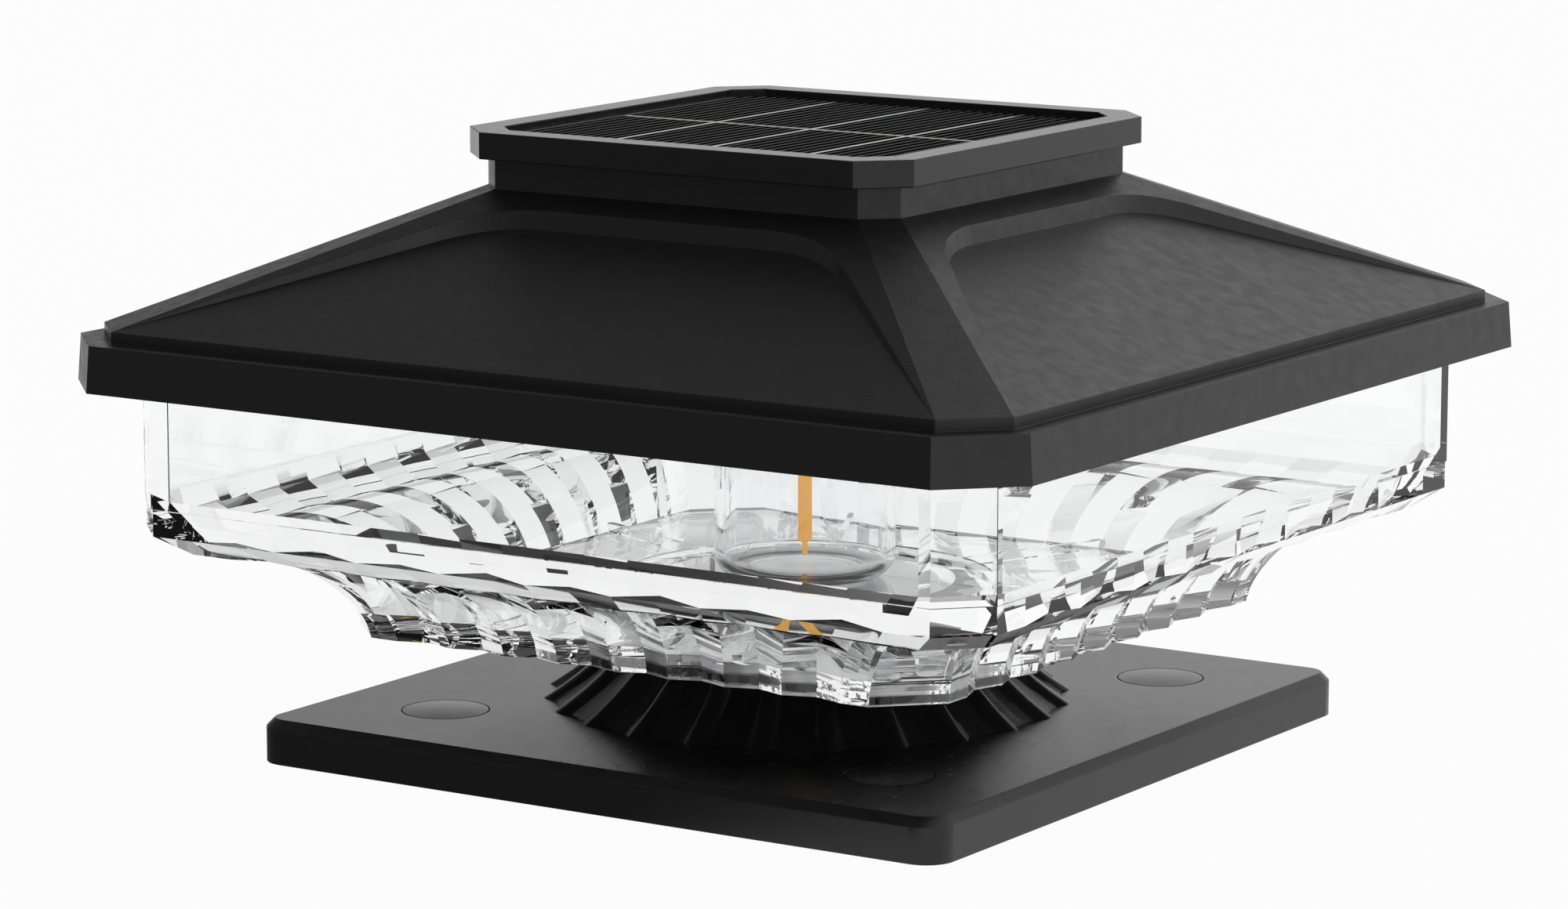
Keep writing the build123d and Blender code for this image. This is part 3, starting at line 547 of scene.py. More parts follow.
class Finishes:
    """Every material of the lamp, made once."""

    def __init__(self) -> None:
        """Make all materials."""
        black, grey = (0.0075, 0.0075, 0.008), (0.0095, 0.0095, 0.010)
        self.roof = Moulding("grained_black", black, grey, gloss=(0.36, 0.46), grain_mm=0.42,
                             grain_depth_mm=0.05, grain_heights_mm=(77.8, 100.2), shine=0.45).material()
        self.satin = Moulding("satin_black", black, grey, gloss=(0.255, 0.275), grain_mm=0.5,
                              grain_depth_mm=0.001, shine=0.4).material()
        self.inside = Moulding("inside_black", (0.02, 0.02, 0.021), (0.024, 0.024, 0.025), gloss=(0.4, 0.5),
                               grain_mm=0.6).material()
        self.clear = Clear("clear_bowl", (0.985, 0.988, 0.99), index=1.49).material()
        self.cup = Clear("clear_cup", (0.985, 0.988, 0.99), index=1.47).material()
        self.resin = Resin("panel_resin", (0.02, 0.02, 0.02), sheen_share=0.012).material()
        self.cell = Silicon("dark_silicon", (0.0015, 0.0015, 0.002), finger_colour=(0.16, 0.16, 0.16),
                            finger_pitch_mm=2.2, finger_width_mm=0.65, bus_colour=(0.75, 0.72, 0.66),
                            bus_width_mm=1.2).material()
        self.ribbon = Metal("tinned_ribbon", (0.8, 0.8, 0.79), gloss=(0.35, 0.5),
                            streak=(1.0, 8.0, 1.0)).material()
        self.steel = Metal("zinc_steel", (0.62, 0.62, 0.63), gloss=(0.25, 0.4)).material()
        self.phosphor = Phosphor("amber_phosphor", (0.92, 0.45, 0.05), deeper=(0.86, 0.38, 0.03),
                                 glow=0.65).material()
        self.seal = Moulding("soft_seal", (0.03, 0.03, 0.03), (0.045, 0.045, 0.045), gloss=(0.7, 0.85),
                             grain_mm=0.3, grain_depth_mm=0.02).material()
        self.white = Moulding("white_moulding", (0.78, 0.78, 0.76), (0.84, 0.84, 0.82), gloss=(0.4, 0.5),
                              grain_mm=0.6).material()
        self.laminate = Moulding("panel_laminate", (0.02, 0.025, 0.03), (0.03, 0.035, 0.04), gloss=(0.3, 0.4),
                                 grain_mm=0.8).material()
        self.mask = Moulding("solder_mask", (0.01, 0.10, 0.035), (0.02, 0.16, 0.05), gloss=(0.2, 0.3),
                             grain_mm=1.5).material()
        self.chip = Moulding("chip_moulding", (0.012, 0.012, 0.012), (0.02, 0.02, 0.02), gloss=(0.5, 0.6),
                             grain_mm=0.2).material()
        self.wrap = Moulding("shrink_wrap", (0.03, 0.16, 0.07), (0.04, 0.20, 0.09), gloss=(0.15, 0.25),
                             grain_mm=4.0, grain_depth_mm=0.02).material()
        self.red = self.jacket("red_jacket", (0.45, 0.01, 0.01), (0.55, 0.02, 0.02))
        self.black = self.jacket("black_jacket", (0.01, 0.01, 0.01), (0.02, 0.02, 0.02))
        self.pale = self.jacket("white_jacket", (0.72, 0.72, 0.70), (0.8, 0.8, 0.78))

    @staticmethod
    def jacket(name: str, colour: Point3, lighter: Point3) -> Material:
        """Soft jacket of a lead in one colour."""
        return Moulding(name, colour, lighter, gloss=(0.25, 0.4), grain_mm=0.7).material()


def dress(node: str, material: Material) -> Object:
    """Give a CAD node its finish.

    Args:
        node: Name of the node.
        material: Finish that it gets.

    Returns:
        The node's object.
    """
    obj = frame["nodes"][node]
    obj.data.materials.clear()
    obj.data.materials.append(material)
    LOG.info("%s dressed in %s", node, material.name)
    return obj


def round_edges(obj: Object, width_mm: float, segments: int = 3, sharp_degrees: float = 25.0,
                flat_degrees: float = 0.4) -> None:
    """Round the sharp edges of a CAD node without touching its mesh.

    Args:
        obj: The node's object.
        width_mm: Width of the rounding.
        segments: Strips across the rounding.
        sharp_degrees: Only edges sharper than this are rounded.
        flat_degrees: Faces flatter than this against each other become one.
    """
    weld = obj.modifiers.new("weld", "WELD")
    weld.merge_threshold = SAME_SPOT
    planes = obj.modifiers.new("planes", "DECIMATE")
    planes.decimate_type = "DISSOLVE"
    planes.angle_limit = math.radians(flat_degrees)
    bevel = obj.modifiers.new("edges", "BEVEL")
    bevel.width = width_mm * MM
    bevel.segments = segments
    bevel.limit_method = "ANGLE"
    bevel.angle_limit = math.radians(sharp_degrees)


def arc_at(start: Point2, end: Point2, sag: float, share: float) -> tuple[Point2, Point2]:
    """Point on an arc that bows to the left of its chord, and the side it hollows out.

    Args:
        start: First end.
        end: Last end.
        sag: Largest distance from the chord.
        share: Place along the arc from 0 to 1.

    Returns:
        The point, and the unit direction from it to the arc's centre.
    """
    dx, dy = end[0] - start[0], end[1] - start[1]
    length = math.hypot(dx, dy)
    along, left = (dx / length, dy / length), (-dy / length, dx / length)
    radius = (length * length / 4 + sag * sag) / (2 * sag)
    half_turn = math.asin(length / 2 / radius)
    turn = (2 * share - 1) * half_turn
    out = tuple(math.sin(turn) * a + math.cos(turn) * b for a, b in zip(along, left))
    middle = tuple((a + b) / 2 + (sag - radius) * c for a, b, c in zip(start, end, left))
    return tuple(m + radius * o for m, o in zip(middle, out)), (-out[0], -out[1])


@dataclass(frozen=True)
class Station:
    """One level of the bowl's outside: section, height and outward direction."""

    half: float
    z: float
    leg: float
    out: Point2


@dataclass
class ClearBowl:
    """Clear square bowl with staggered pleats in its cove."""

    wall_half: float = 86.4
    wall_leg: float = 7.7
    wall_t: float = 2.4
    top_z: float = 72.0
    pleat_top_z: float = 46.4
    wall_foot_z: float = 41.8
    wall_step: float = 0.2
    wall_inner_foot_z: float = 47.9
    wall_inner_leg: float = 8.4
    cove_top: Point2 = (81.5, 38.4)
    cove_foot: Point2 = (61.2, 25.0)
    cove_sag: float = 4.3
    foot_leg: float = 9.6
    rim_half: float = 60.7
    rim_z: float = 22.7
    floor_half: float = 59.0
    floor_z: float = 27.5
    inner_cove_top: Point2 = (78.0, 40.4)
    inner_sag: float = 4.0
    inner_steps: int = 20
    divisions: int = 9
    wide_depth: float = 1.8
    narrow_depth: float = 1.1
    middle_depth: float = 2.3
    lower_depth: float = 3.2
    rim_depth: float = 1.9
    restart_share: float = 0.55
    wall_rows: int = 3
    cove_rows: int = 20
    first_pleat_row: int = 1
    upper_ledge_row: int = 4
    middle_ledge_row: int = 13
    lower_ledge_row: int = 19
    pocket_r: float = 32.0
    hub_r: float = 33.0
    hub_low_z: float = 24.0
    hub_top_z: float = 29.4
    bore_r: float = 23.3
    lug_r: float = 25.9
    lip_top_z: float = 25.8
    hub_roof_z: float = 28.2
    ribs: int = 8
    rib_t: float = 1.6
    rib_height: float = 1.5
    rib_sink: float = 0.8
    rib_overlap: float = 0.6
    hub_overlap: float = 2.0
    cut_through: float = 1.0
    crease_degrees: float = 17.0
    step_strips: tuple[int, int] = (1, 2)
    halves: int = 2
    facets: int = 1

    def leg_at(self, half: float) -> float:
        """Leg of the outside's cut-off corner at a half width."""
        share = (half - self.cove_foot[0]) / (self.wall_half - self.cove_foot[0])
        return self.foot_leg + share * (self.wall_leg - self.foot_leg)

    def stations(self) -> list[Station]:
        """Levels of the outside from the line above the pleats down to the rim's underside.

        Returns:
            Stations of the wall's foot, the bevel, the cove and the rim, in order.
        """
        foot = (self.wall_half - self.wall_step, self.wall_foot_z)
        dx, dz = self.cove_top[0] - foot[0], self.cove_top[1] - foot[1]
        length = math.hypot(dx, dz)
        bevel_out = Vector((-dz / length, dx / length))
        edge_out = (bevel_out + Vector((1.0, 0.0))).normalized()
        rows = [Station(self.wall_half, self.pleat_top_z + self.wall_step, self.wall_leg, (1.0, 0.0))]
        drop = (self.pleat_top_z - foot[1]) / self.wall_rows
        for i in range(self.wall_rows):
            rows.append(Station(foot[0], self.pleat_top_z - i * drop, self.leg_at(foot[0]), (1.0, 0.0)))
        rows.append(Station(*foot, self.leg_at(foot[0]), tuple(edge_out)))
        middle = (foot[0] + dx / 2, foot[1] + dz / 2)
        rows.append(Station(*middle, self.leg_at(middle[0]), tuple(bevel_out)))
        for i in range(self.cove_rows + 1):
            (half, z), out = arc_at(self.cove_foot, self.cove_top, self.cove_sag, 1 - i / self.cove_rows)
            rows.append(Station(half, z, self.leg_at(half), out))
        rows.append(Station(self.rim_half, self.rim_z, self.foot_leg, (1.0, 0.0)))
        return rows

    def ledges(self, column: int) -> dict[int, float]:
        """Rows at which a pleat steps back out, with its depth just above.

        Args:
            column: Place along the side; the first and the last column are flat.

        Returns:
            Depth at each ledge.
        """
        if column in (0, self.divisions):
            return {}
        if column % 2 == 0:
            return {self.upper_ledge_row: self.wide_depth, self.lower_ledge_row: self.lower_depth}
        return {self.upper_ledge_row: self.narrow_depth, self.middle_ledge_row: self.middle_depth}

    def valley(self, ledges: dict[int, float], last: int, rim_depth: float) -> list[tuple[int, float]]:
        """Depth of a pleat's valley at each row, with two entries where it steps out at a ledge.

        Args:
            ledges: Depth at each ledge.
            last: Last row of the cove.
            rim_depth: Depth at the rim.

        Returns:
            Row and depth pairs from top to bottom.
        """
        start = self.first_pleat_row
        depths = [(row, 0.0) for row in range(start)]
        for place, (stop, full) in enumerate([*ledges.items(), (last, rim_depth)]):
            low = full * self.restart_share if place > 1 else 0.0
            span = stop - start
            depths += [(start + i, low + (full - low) * i / span) for i in range(span + 1)]
            start = stop
        return depths + [(last + 1, rim_depth)]

    def outside(self, shape: BMesh) -> None:
        """Add the wall, the pleated cove and the rim, one column at a time.

        Args:
            shape: Bowl in the making.
        """
        rows = self.stations()
        last = len(rows) - 2
        top = Station(self.wall_half, self.top_z, self.wall_leg, (1.0, 0.0))
        marks = [-1.0] + [(2 * i + 1) / self.divisions - 1 for i in range(self.divisions)] + [1.0]
        for side in range(SIDES):
            turn = side * 2 * math.pi / SIDES
            c, s = math.cos(turn), math.sin(turn)

            def spot(x: float, y: float, z: float) -> BMVert:
                """Corner at a place on the front, turned to this side."""
                return shape.verts.new(((x * c - y * s) * MM, (x * s + y * c) * MM, z * MM))

            for column, (left, right) in enumerate(zip(marks, marks[1:])):
                ledges = self.ledges(column)
                depths = self.valley(ledges, last, self.rim_depth if ledges else 0.0)
                strips = []
                for station, depth in [(top, 0.0)] + [(rows[row], depth) for row, depth in depths]:
                    flat = station.half - station.leg
                    sunk_y = depth * station.out[0] - station.half
                    sunk_z = station.z - depth * station.out[1]
                    strips.append([spot(left * flat, -station.half, station.z),
                                   spot((left + right) / 2 * flat, sunk_y, sunk_z),
                                   spot(right * flat, -station.half, station.z)])
                self.skin(shape, strips, [-1] + [row for row, _ in depths])
            # Cut-off corner to the right of this side: one wide pleat with a single ledge
            depths = self.valley({self.upper_ledge_row: self.wide_depth}, last, 0.0)
            strips = []
            for station, depth in [(top, 0.0)] + [(rows[row], depth) for row, depth in depths]:
                flat = station.half - station.leg
                middle = (flat + station.half) / 2 - depth * station.out[0] * DIAGONAL
                strips.append([spot(flat, -station.half, station.z),
                               spot(middle, -middle, station.z - depth * station.out[1]),
                               spot(station.half, -flat, station.z)])
            self.skin(shape, strips, [-1] + [row for row, _ in depths])

    def skin(self, shape: BMesh, strips: list[list[BMVert]], rows: list[int]) -> None:
        """Cover rows of three corners with faces, each stretch between ledges as a facet of its own.

        Args:
            shape: Bowl in the making.
            strips: Left, middle and right corner of each row, from top to bottom.
            rows: Row number of each strip; a number that comes twice marks a ledge.
        """
        layer = shape.faces.layers.int["facet"]
        for place, (upper, lower) in enumerate(zip(strips, strips[1:])):
            on_ledge = rows[place + 1] == rows[place]
            below_ledge = place > 0 and rows[place] == rows[place - 1]
            if place in self.step_strips or on_ledge or below_ledge:
                self.facets += self.halves
            for i in range(self.halves):
                face = shape.faces.new((upper[i], upper[i + 1], lower[i + 1], lower[i]))
                face[layer] = self.facets + i
        self.facets += self.halves

    @staticmethod
    def ring(shape: BMesh, half: float, leg: float, z: float) -> list[BMVert]:
        """Corners of a cut-off square, from the front side round to the right.

        Args:
            shape: Bowl in the making.
            half: Half the square's width.
            leg: Leg of its cut-off corners.
            z: Height.

        Returns:
            The eight corners in order.
        """
        flat = half - leg
        side = [(-flat, -half), (flat, -half)]
        corners = []
        for _ in range(SIDES):
            corners += side
            side = [(-y, x) for x, y in side]
        return [shape.verts.new((x * MM, y * MM, z * MM)) for x, y in corners]

    @staticmethod
    def wall(shape: BMesh, first: list[BMVert],
             second: list[BMVert]) -> None:
        """Add faces between two rings with as many corners, one facet number for each side.

        Args:
            shape: Bowl in the making.
            first: One ring.
            second: The other ring.
        """
        layer = shape.faces.layers.int["facet"]
        count = len(first)
        for i in range(count):
            face = shape.faces.new((first[i], first[(i + 1) % count], second[(i + 1) % count], second[i]))
            face[layer] = -1 - i

    def inside(self, shape: BMesh) -> None:
        """Add the inner wall, the smooth inner cove and the floor.

        Args:
            shape: Bowl in the making.
        """
        # A corner's leg shrinks by this much for each millimetre that the outline moves in
        leg_loss = 2 - math.sqrt(2)
        inner_half = self.wall_half - self.wall_t
        floor_leg = self.foot_leg - leg_loss * (self.cove_foot[0] - self.floor_half)
        section = [(inner_half, self.top_z), (inner_half, self.wall_inner_foot_z)]
        low = (self.floor_half, self.floor_z)
        for i in range(self.inner_steps + 1):
            section.append(arc_at(low, self.inner_cove_top, self.inner_sag, 1 - i / self.inner_steps)[0])
        rings = []
        for half, z in section:
            share = (half - self.floor_half) / (inner_half - self.floor_half)
            rings.append(self.ring(shape, half, floor_leg + share * (self.wall_inner_leg - floor_leg), z))
        for first, second in zip(rings, rings[1:]):
            self.wall(shape, second, first)
        shape.faces.new(rings[-1])

    @staticmethod
    def close(shape: BMesh, z: float) -> None:
        """Close the flat area inside the open loops at one level.

        Args:
            shape: Bowl in the making.
            z: Height of the loops.
        """
        edges = []
        for edge in shape.edges:
            if edge.is_boundary and all(abs(vert.co.z - z * MM) < SAME_LEVEL for vert in edge.verts):
                edges.append(edge)
        bmesh.ops.triangle_fill(shape, use_beauty=True, use_dissolve=True, edges=edges)

    def crease(self, bowl: Object) -> None:
        """Shade each facet smooth within itself and sharp against its neighbours.

        Args:
            bowl: Finished bowl.
        """
        shape = bmesh.new()
        shape.from_mesh(bowl.data)
        layer = shape.faces.layers.int["facet"]
        for face in shape.faces:
            face.smooth = True
        for edge in shape.edges:
            sides = edge.link_faces
            gentle = len(sides) == 2 and edge.calc_face_angle(math.pi) < math.radians(self.crease_degrees)
            edge.smooth = gentle and sides[0][layer] == sides[1][layer]
        shape.to_mesh(bowl.data)
        shape.free()

    def build(self, finish: Material) -> None:
        """Model the bowl with its hub, ribs and bayonet socket.

        Args:
            finish: Clear material.
        """
        shape = bmesh.new()
        shape.faces.layers.int.new("facet")
        self.outside(shape)
        self.inside(shape)
        bmesh.ops.remove_doubles(shape, verts=shape.verts, dist=SAME_SPOT)
        bmesh.ops.dissolve_degenerate(shape, edges=shape.edges, dist=SAME_LEVEL)
        self.close(shape, self.top_z)
        self.close(shape, self.rim_z)
        bmesh.ops.recalc_face_normals(shape, faces=shape.faces)
        LOG.info("bowl has %d open edges", sum(1 for e in shape.edges if not e.is_manifold))
        bowl = Bench.mesh_object("clear_bowl", shape)
        hub = Bench.lathe("hub", [(0, self.hub_low_z), (self.hub_r, self.hub_low_z),
                                  (self.hub_r, self.hub_top_z), (0, self.hub_top_z)])
        Bench.combine(bowl, hub, "UNION")
        root = self.hub_r - self.hub_overlap
        reach = self.floor_half / math.cos(math.pi / self.ribs) + self.rib_overlap
        for i in range(self.ribs):
            rib = Bench.block("rib", (root, -self.rib_t / 2, self.floor_z - self.rib_sink),
                              (reach, self.rib_t / 2, self.floor_z + self.rib_height))
            Bench.turn(rib, (i + 0.5) * 360 / self.ribs)
            Bench.combine(bowl, rib, "UNION")
        below = self.rim_z - self.cut_through
        socket = Bench.lathe("socket", [(0, below), (self.pocket_r, below),
                                        (self.pocket_r, self.hub_low_z), (self.bore_r, self.hub_low_z),
                                        (self.bore_r, self.lip_top_z), (self.lug_r, self.lip_top_z),
                                        (self.lug_r, self.hub_roof_z), (0, self.hub_roof_z)])
        Bench.combine(bowl, socket, "DIFFERENCE")
        bowl.data.materials.clear()
        bowl.data.materials.append(finish)
        self.crease(bowl)
        Bench.place(bowl, Body.BOWL, "clear", "diffuser")


@dataclass
class Bulb:
    """Clear cup with the filament inside it."""

    cup_r: float = 16.1
    wall_t: float = 1.4
    bottom_z: float = 29.8
    corner_r: float = 4.0
    flange_r: float = 19.5
    flange_z: float = 67.0
    flange_run: float = 0.8
    top_z: float = 69.0
    cup_steps: int = 128
    cup_smooth: float = 25.0
    rod_r: float = 1.25
    rod_edge: float = 0.5
    rod_steps: int = 32
    rod_smooth: float = 30.0
    rod_low_z: float = 35.6
    rod_high_z: float = 62.0
    lead_r: float = 0.5
    lead_steps: int = 24
    tip_z: float = 33.2
    tip_r: float = 0.3
    tip_run: float = 0.4
    lead_high_z: float = 72.6

    @staticmethod
    def corner(radius: float, z: float, fillet: float, steps: int = 8) -> list[Point2]:
        """Rounded bottom corner of the cup, from its flat bottom out to its side."""
        turns = [math.pi / 2 * i / steps for i in range(steps + 1)]
        return [(radius - fillet + fillet * math.sin(t), z + fillet - fillet * math.cos(t)) for t in turns]

    def cup(self, finish: Material) -> None:
        """Turn the cup.

        Args:
            finish: Clear material.
        """
        inner_r = self.cup_r - self.wall_t
        outside = [(0, self.bottom_z)] + self.corner(self.cup_r, self.bottom_z, self.corner_r)
        outside += [(self.cup_r, self.flange_z - self.flange_run),
                    (self.cup_r + self.flange_run, self.flange_z), (self.flange_r, self.flange_z),
                    (self.flange_r, self.top_z), (inner_r, self.top_z)]
        inside = [(0, self.bottom_z + self.wall_t)]
        inside += self.corner(inner_r, self.bottom_z + self.wall_t, self.corner_r - self.wall_t)
        cup = Bench.lathe("bulb_cup_clear", outside + list(reversed(inside)), self.cup_steps)
        cup.data.materials.append(finish)
        Bench.smooth(cup, self.cup_smooth)
        Bench.place(cup, Body.TOP, "clear_cup", "bulb_cup")

    def filament(self, coat: Material, metal: Material) -> None:
        """Turn the coated rod, its thin coated tip and the bare end above it.

        Args:
            coat: Amber material.
            metal: Material of the bare end.
        """
        rod = [(0, self.rod_low_z), (self.rod_r - self.rod_edge, self.rod_low_z),
               (self.rod_r, self.rod_low_z + self.rod_edge), (self.rod_r, self.rod_high_z),
               (0, self.rod_high_z)]
        tip = [(0, self.tip_z), (self.tip_r, self.tip_z), (self.lead_r, self.tip_z + self.tip_run),
               (self.lead_r, self.rod_low_z), (0, self.rod_low_z)]
        bare = [(0, self.rod_high_z), (self.lead_r, self.rod_high_z), (self.lead_r, self.lead_high_z),
                (0, self.lead_high_z)]
        for name, profile, steps, material, slot, nodes in (
                ("filament_rod", rod, self.rod_steps, coat, "filament", ["led_filament"]),
                ("filament_tip", tip, self.lead_steps, coat, "filament", ["filament_leads"]),
                ("filament_lead", bare, self.lead_steps, metal, "steel", [])):
            piece = Bench.lathe(name, profile, steps)
            piece.data.materials.append(material)
            Bench.smooth(piece, self.rod_smooth)
            Bench.place(piece, Body.TOP, slot, *nodes)


@dataclass
class Pedestal:
    """Fluted foot under the bowl, with rounded ridges and the bayonet spigot."""

    foot_r: float = 47.1
    foot_z: float = 7.8
    top_r: float = 29.5
    top_z: float = 24.0
    sag: float = 1.15
    ridges: int = 24
    ridge_width: float = 4.2
    depth: float = 1.9
    valley_share: float = 0.12
    rows: int = 14
    across: int = 18
    spigot_r: float = 23.0
    spigot_z: float = 28.0
    lug_r: float = 25.6
    lug_z: float = 26.0
    lugs: int = 3
    lug_span: float = 30.0
    spigot_overlap: float = 3.0
    lug_overlap: float = 4.0
    cut_through: float = 1.0
    bright_slack: float = 0.05
    smooth_degrees: float = 35.0

    def sunk(self, offset: float, pitch: float) -> float:
        """Depth below the ridge's crest at a distance from it.

        Args:
            offset: Distance from the crest along the circle.
            pitch: Distance between crests.

        Returns:
            Depth in millimetres.
        """
        half = self.ridge_width / 2
        if abs(offset) >= half:
            valley = (abs(offset) - half) / (pitch / 2 - half)
            return self.depth * (1 + self.valley_share * valley)
        share = abs(offset) / half
        return self.depth * (1 - math.sqrt(1 - share * share))

    def build(self, finish: Material, bright: Material) -> None:
        """Model the foot.

        Args:
            finish: Black material.
            bright: Material of the spigot and lugs.
        """
        shape = bmesh.new()
        count = self.ridges * self.across
        low, high = (self.foot_r, self.foot_z), (self.top_r, self.top_z)
        rings = []
        for row in range(self.rows + 1):
            (r, z), _ = arc_at(low, high, self.sag, 1 - row / self.rows)
            pitch = 2 * math.pi * r / self.ridges
            ring = []
            for i in range(count):
                angle = 2 * math.pi * i / count
                offset = ((i % self.across) / self.across - 0.5) * pitch
                reach = r - self.sunk(offset, pitch)
                x, y = reach * math.cos(angle), reach * math.sin(angle)
                ring.append(shape.verts.new((x * MM, y * MM, z * MM)))
            rings.append(ring)
        for first, second in zip(rings, rings[1:]):
            for i in range(count):
                shape.faces.new((first[i], second[i], second[(i + 1) % count], first[(i + 1) % count]))
        shape.faces.new(rings[0])
        shape.faces.new(list(reversed(rings[-1])))
        bmesh.ops.recalc_face_normals(shape, faces=shape.faces)
        foot = Bench.mesh_object("fluted_foot", shape)
        root_z = self.top_z - self.spigot_overlap
        spigot = Bench.lathe("spigot", [(0, root_z), (self.spigot_r, root_z), (self.spigot_r, self.spigot_z),
                                        (0, self.spigot_z)])
        Bench.combine(foot, spigot, "UNION")
        half = self.lug_r * math.tan(math.radians(self.lug_span / 2))
        for i in range(self.lugs):
            lug = Bench.lathe("lug", [(0, self.lug_z), (self.lug_r, self.lug_z), (self.lug_r, self.spigot_z),
                                      (0, self.spigot_z)])
            inner_r, below = self.spigot_r - self.lug_overlap, self.lug_z - self.cut_through
            keep = Bench.block("keep", (inner_r, -half, below),
                               (self.lug_r + self.cut_through, half, self.spigot_z + self.cut_through))
            Bench.combine(lug, keep, "INTERSECT")
            Bench.turn(lug, i * 360 / self.lugs)
            Bench.combine(foot, lug, "UNION")
        foot.data.materials.clear()
        foot.data.materials.append(finish)
        foot.data.materials.append(bright)
        for face in foot.data.polygons:
            face.material_index = int(face.center.z > (self.top_z - self.bright_slack) * MM)
        Bench.smooth(foot, self.smooth_degrees)
        Bench.place(foot, Body.BASE, "black_satin", "pedestal")


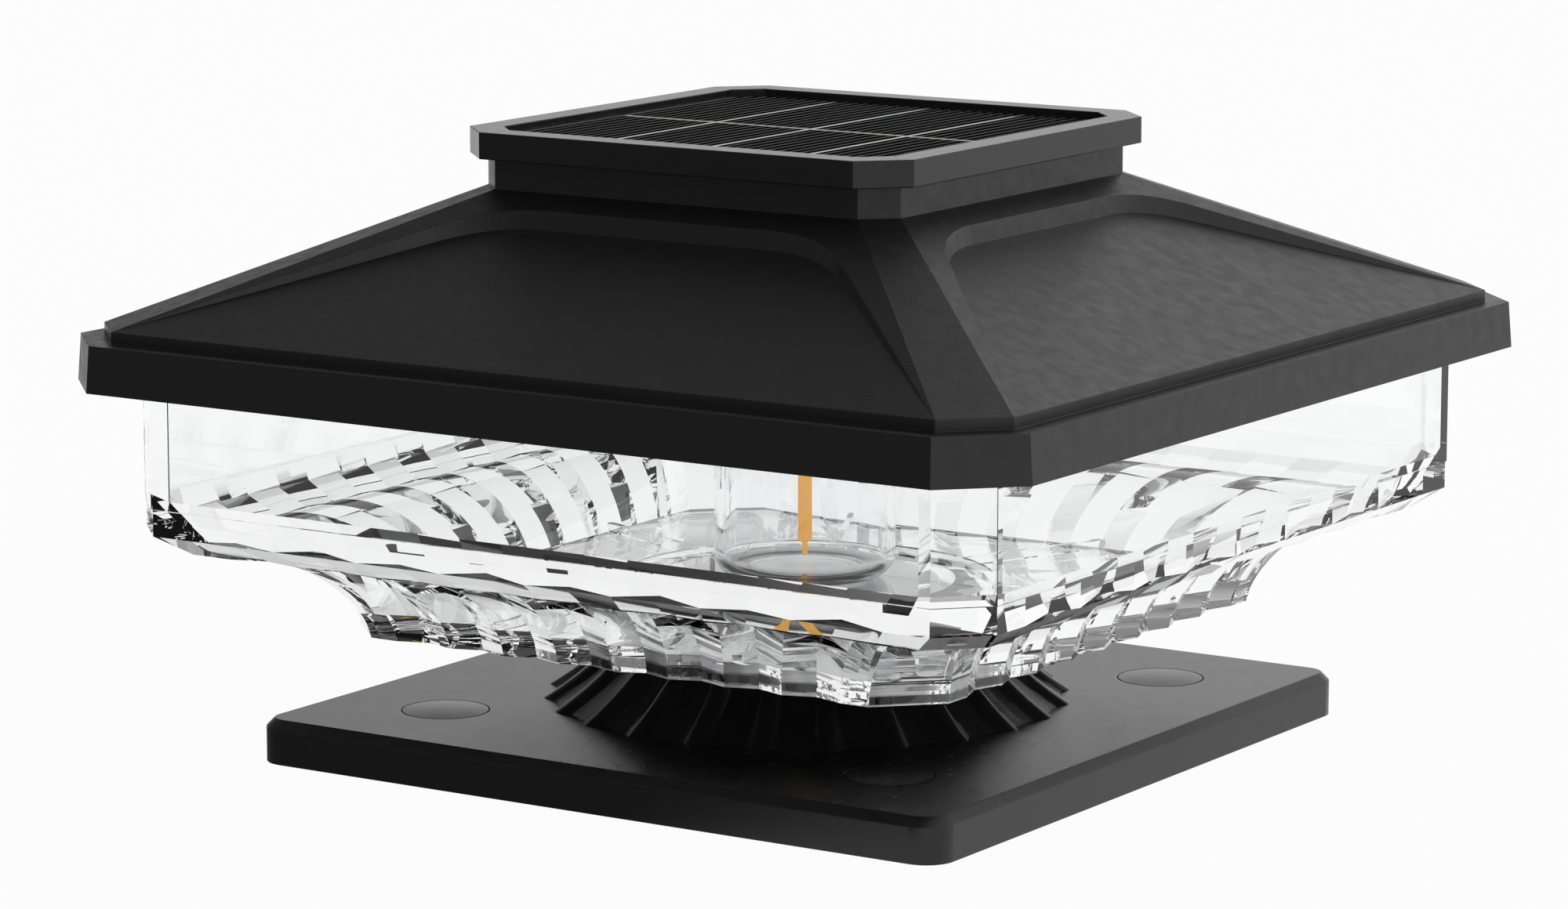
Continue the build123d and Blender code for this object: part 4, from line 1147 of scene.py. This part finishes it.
@dataclass
class Studio:
    """Pale floor, soft light all round and the camera of the picture."""

    eye: Point3 = (525.61, -812.82, 219.92)
    ahead: Point3 = (-0.53855, 0.82488, -0.17187)
    lens: float = 127.4
    sensor: float = 36.0
    far_end: float = 50.0
    shade_from: Point3 = (-0.70, -0.35, 0.62)
    shade_span: Point2 = (0.15, 0.6)
    light_levels: Point2 = (1.2, 0.25)
    floor_half: float = 6.0
    floor_drop: float = 0.0002
    floor_tone: float = 0.9
    shadow_share: float = 0.04
    dim_toward: Point3 = (-0.545, -0.839, 0.0)
    dim_span: Point2 = (0.3, 0.85)
    dim_loss: float = 0.85
    light_bounces: int = 14

    def camera(self) -> None:
        """Set up the camera at the photo's viewing angle."""
        data = bpy.data.cameras.new("studio_camera")
        data.lens = self.lens
        data.sensor_width = self.sensor
        data.clip_end = self.far_end
        camera = bpy.data.objects.new("studio_camera", data)
        camera.location = [value * MM for value in self.eye]
        camera.rotation_mode = "QUATERNION"
        camera.rotation_quaternion = Vector(self.ahead).to_track_quat("-Z", "Y")
        bpy.context.scene.collection.objects.link(camera)
        bpy.context.scene.camera = camera

    def world(self) -> None:
        """Set even white light with one soft dark side."""
        world = bpy.data.worlds.new("studio_light")
        bpy.context.scene.world = world
        world.use_nodes = True
        nodes = Nodes(world.node_tree)
        heading = nodes.add("ShaderNodeTexCoord").outputs["Generated"]
        level = nodes.facing(heading, self.shade_from, self.shade_span, self.light_levels)
        light = nodes.add("ShaderNodeBackground", Strength=level)
        nodes.add("ShaderNodeOutputWorld", Surface=light.outputs["Background"])

    def floor(self) -> None:
        """Lay a pale floor that shows white to the camera and keeps a faint shadow."""
        bpy.ops.mesh.primitive_plane_add(size=2 * self.floor_half, location=(0, 0, -self.floor_drop))
        floor = bpy.context.object
        floor.name = "pale_floor"
        material = bpy.data.materials.new("pale_floor")
        material.use_nodes = True
        nodes = Nodes(material.node_tree)
        rays = nodes.add("ShaderNodeLightPath")
        matt = nodes.add("ShaderNodeBsdfDiffuse", Color=(*[self.floor_tone] * 3, 1.0))
        white = nodes.add("ShaderNodeEmission", Strength=self.floor_level(nodes, rays))
        seen = rays.outputs["Is Camera Ray"]
        for kind in ("Is Glossy Ray", "Is Transmission Ray"):
            seen = nodes.math("MAXIMUM", seen, rays.outputs[kind])
        mix = nodes.add("ShaderNodeMixShader", Fac=nodes.math("MULTIPLY", seen, 1.0 - self.shadow_share))
        nodes.put(mix.inputs[1], matt.outputs["BSDF"])
        nodes.put(mix.inputs[2], white.outputs["Emission"])
        nodes.add("ShaderNodeOutputMaterial", Surface=mix.outputs["Shader"])
        floor.data.materials.append(material)

    def floor_level(self, nodes: Nodes, rays: Node) -> NodeSocket:
        """Brightness of the floor: full, but dimmed on one side for mirror rays only, a painted dark
        reflection on the shiny parts.

        Args:
            nodes: Nodes of the floor's material.
            rays: Its Light Path node.

        Returns:
            The brightness.
        """
        # A ray bent by glass counts as glossy too, but finds the floor at full brightness
        glossy = rays.outputs["Is Glossy Ray"]
        bent = nodes.math("MINIMUM", glossy, rays.outputs["Is Transmission Ray"])
        mirrored = nodes.math("SUBTRACT", glossy, bent)
        # Painted shade: only reflected rays see the floor darker toward the front left, while the camera and
        # glass rays still see it white
        heading = nodes.add("ShaderNodeVectorMath")
        heading.operation = "NORMALIZE"
        nodes.put(heading.inputs[0], nodes.add("ShaderNodeTexCoord").outputs["Object"])
        levels = (0.0, self.dim_loss)
        loss = nodes.facing(heading.outputs["Vector"], self.dim_toward, self.dim_span, levels)
        return nodes.math("SUBTRACT", 1.0, nodes.math("MULTIPLY", mirrored, loss))

    def build(self) -> None:
        """Set the whole studio up."""
        scene = bpy.context.scene
        scene.view_settings.view_transform = "Standard"
        scene.cycles.max_bounces = 2 * self.light_bounces
        scene.cycles.glossy_bounces = self.light_bounces
        scene.cycles.transmission_bounces = self.light_bounces
        self.camera()
        self.world()
        self.floor()


@dataclass
class Shell:
    """CAD nodes that keep their shape and get a finish."""

    finishes: Finishes
    plain: dict[str, tuple[str, ...]] = field(default_factory=lambda: {
        "inside": ("ceiling_plate", "battery_door", "bulb_collar", "battery_holder", "switch_body"),
        "seal": ("diffuser_gasket", "panel_tape"),
        "white": ("filament_socket",),
        "satin": ("switch_button", "hole_plugs"),
        "steel": ("pedestal_screws", "frame_screws", "ceiling_screws", "collar_screws", "holder_screws",
                  "door_screws", "board_screws", "contact_plate", "contact_leaf"),
        "laminate": ("panel_backing",),
        "cell": ("solar_cells",),
        "ribbon": ("cell_ribbons",),
        "resin": ("panel_cover",),
        "wrap": ("battery",),
        "mask": ("control_board",),
        "chip": ("board_parts",),
        "red": ("panel_lead_red", "battery_lead_red"),
        "black": ("panel_lead_black", "battery_lead_black"),
        "pale": ("filament_wire",),
    })
    rounded: dict[str, tuple[str, float]] = field(default_factory=lambda: {
        "roof_shell": ("roof", 0.35),
        "panel_frame": ("satin", 0.3),
        "base_plate": ("satin", 0.4),
    })

    def build(self) -> None:
        """Dress every node that is carried over."""
        for finish, nodes in self.plain.items():
            for node in nodes:
                dress(node, getattr(self.finishes, finish))
        for node, (finish, width_mm) in self.rounded.items():
            round_edges(dress(node, getattr(self.finishes, finish)), width_mm)


def main() -> None:
    """Build the studio and the lamp."""
    logging.basicConfig(level=logging.INFO, format="%(message)s")
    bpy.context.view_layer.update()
    Studio().build()
    finishes = Finishes()
    Shell(finishes).build()
    ClearBowl().build(finishes.clear)
    bulb = Bulb()
    bulb.cup(finishes.cup)
    bulb.filament(finishes.phosphor, finishes.steel)
    Pedestal().build(finishes.satin, finishes.steel)


if __name__ == "__main__":
    main()
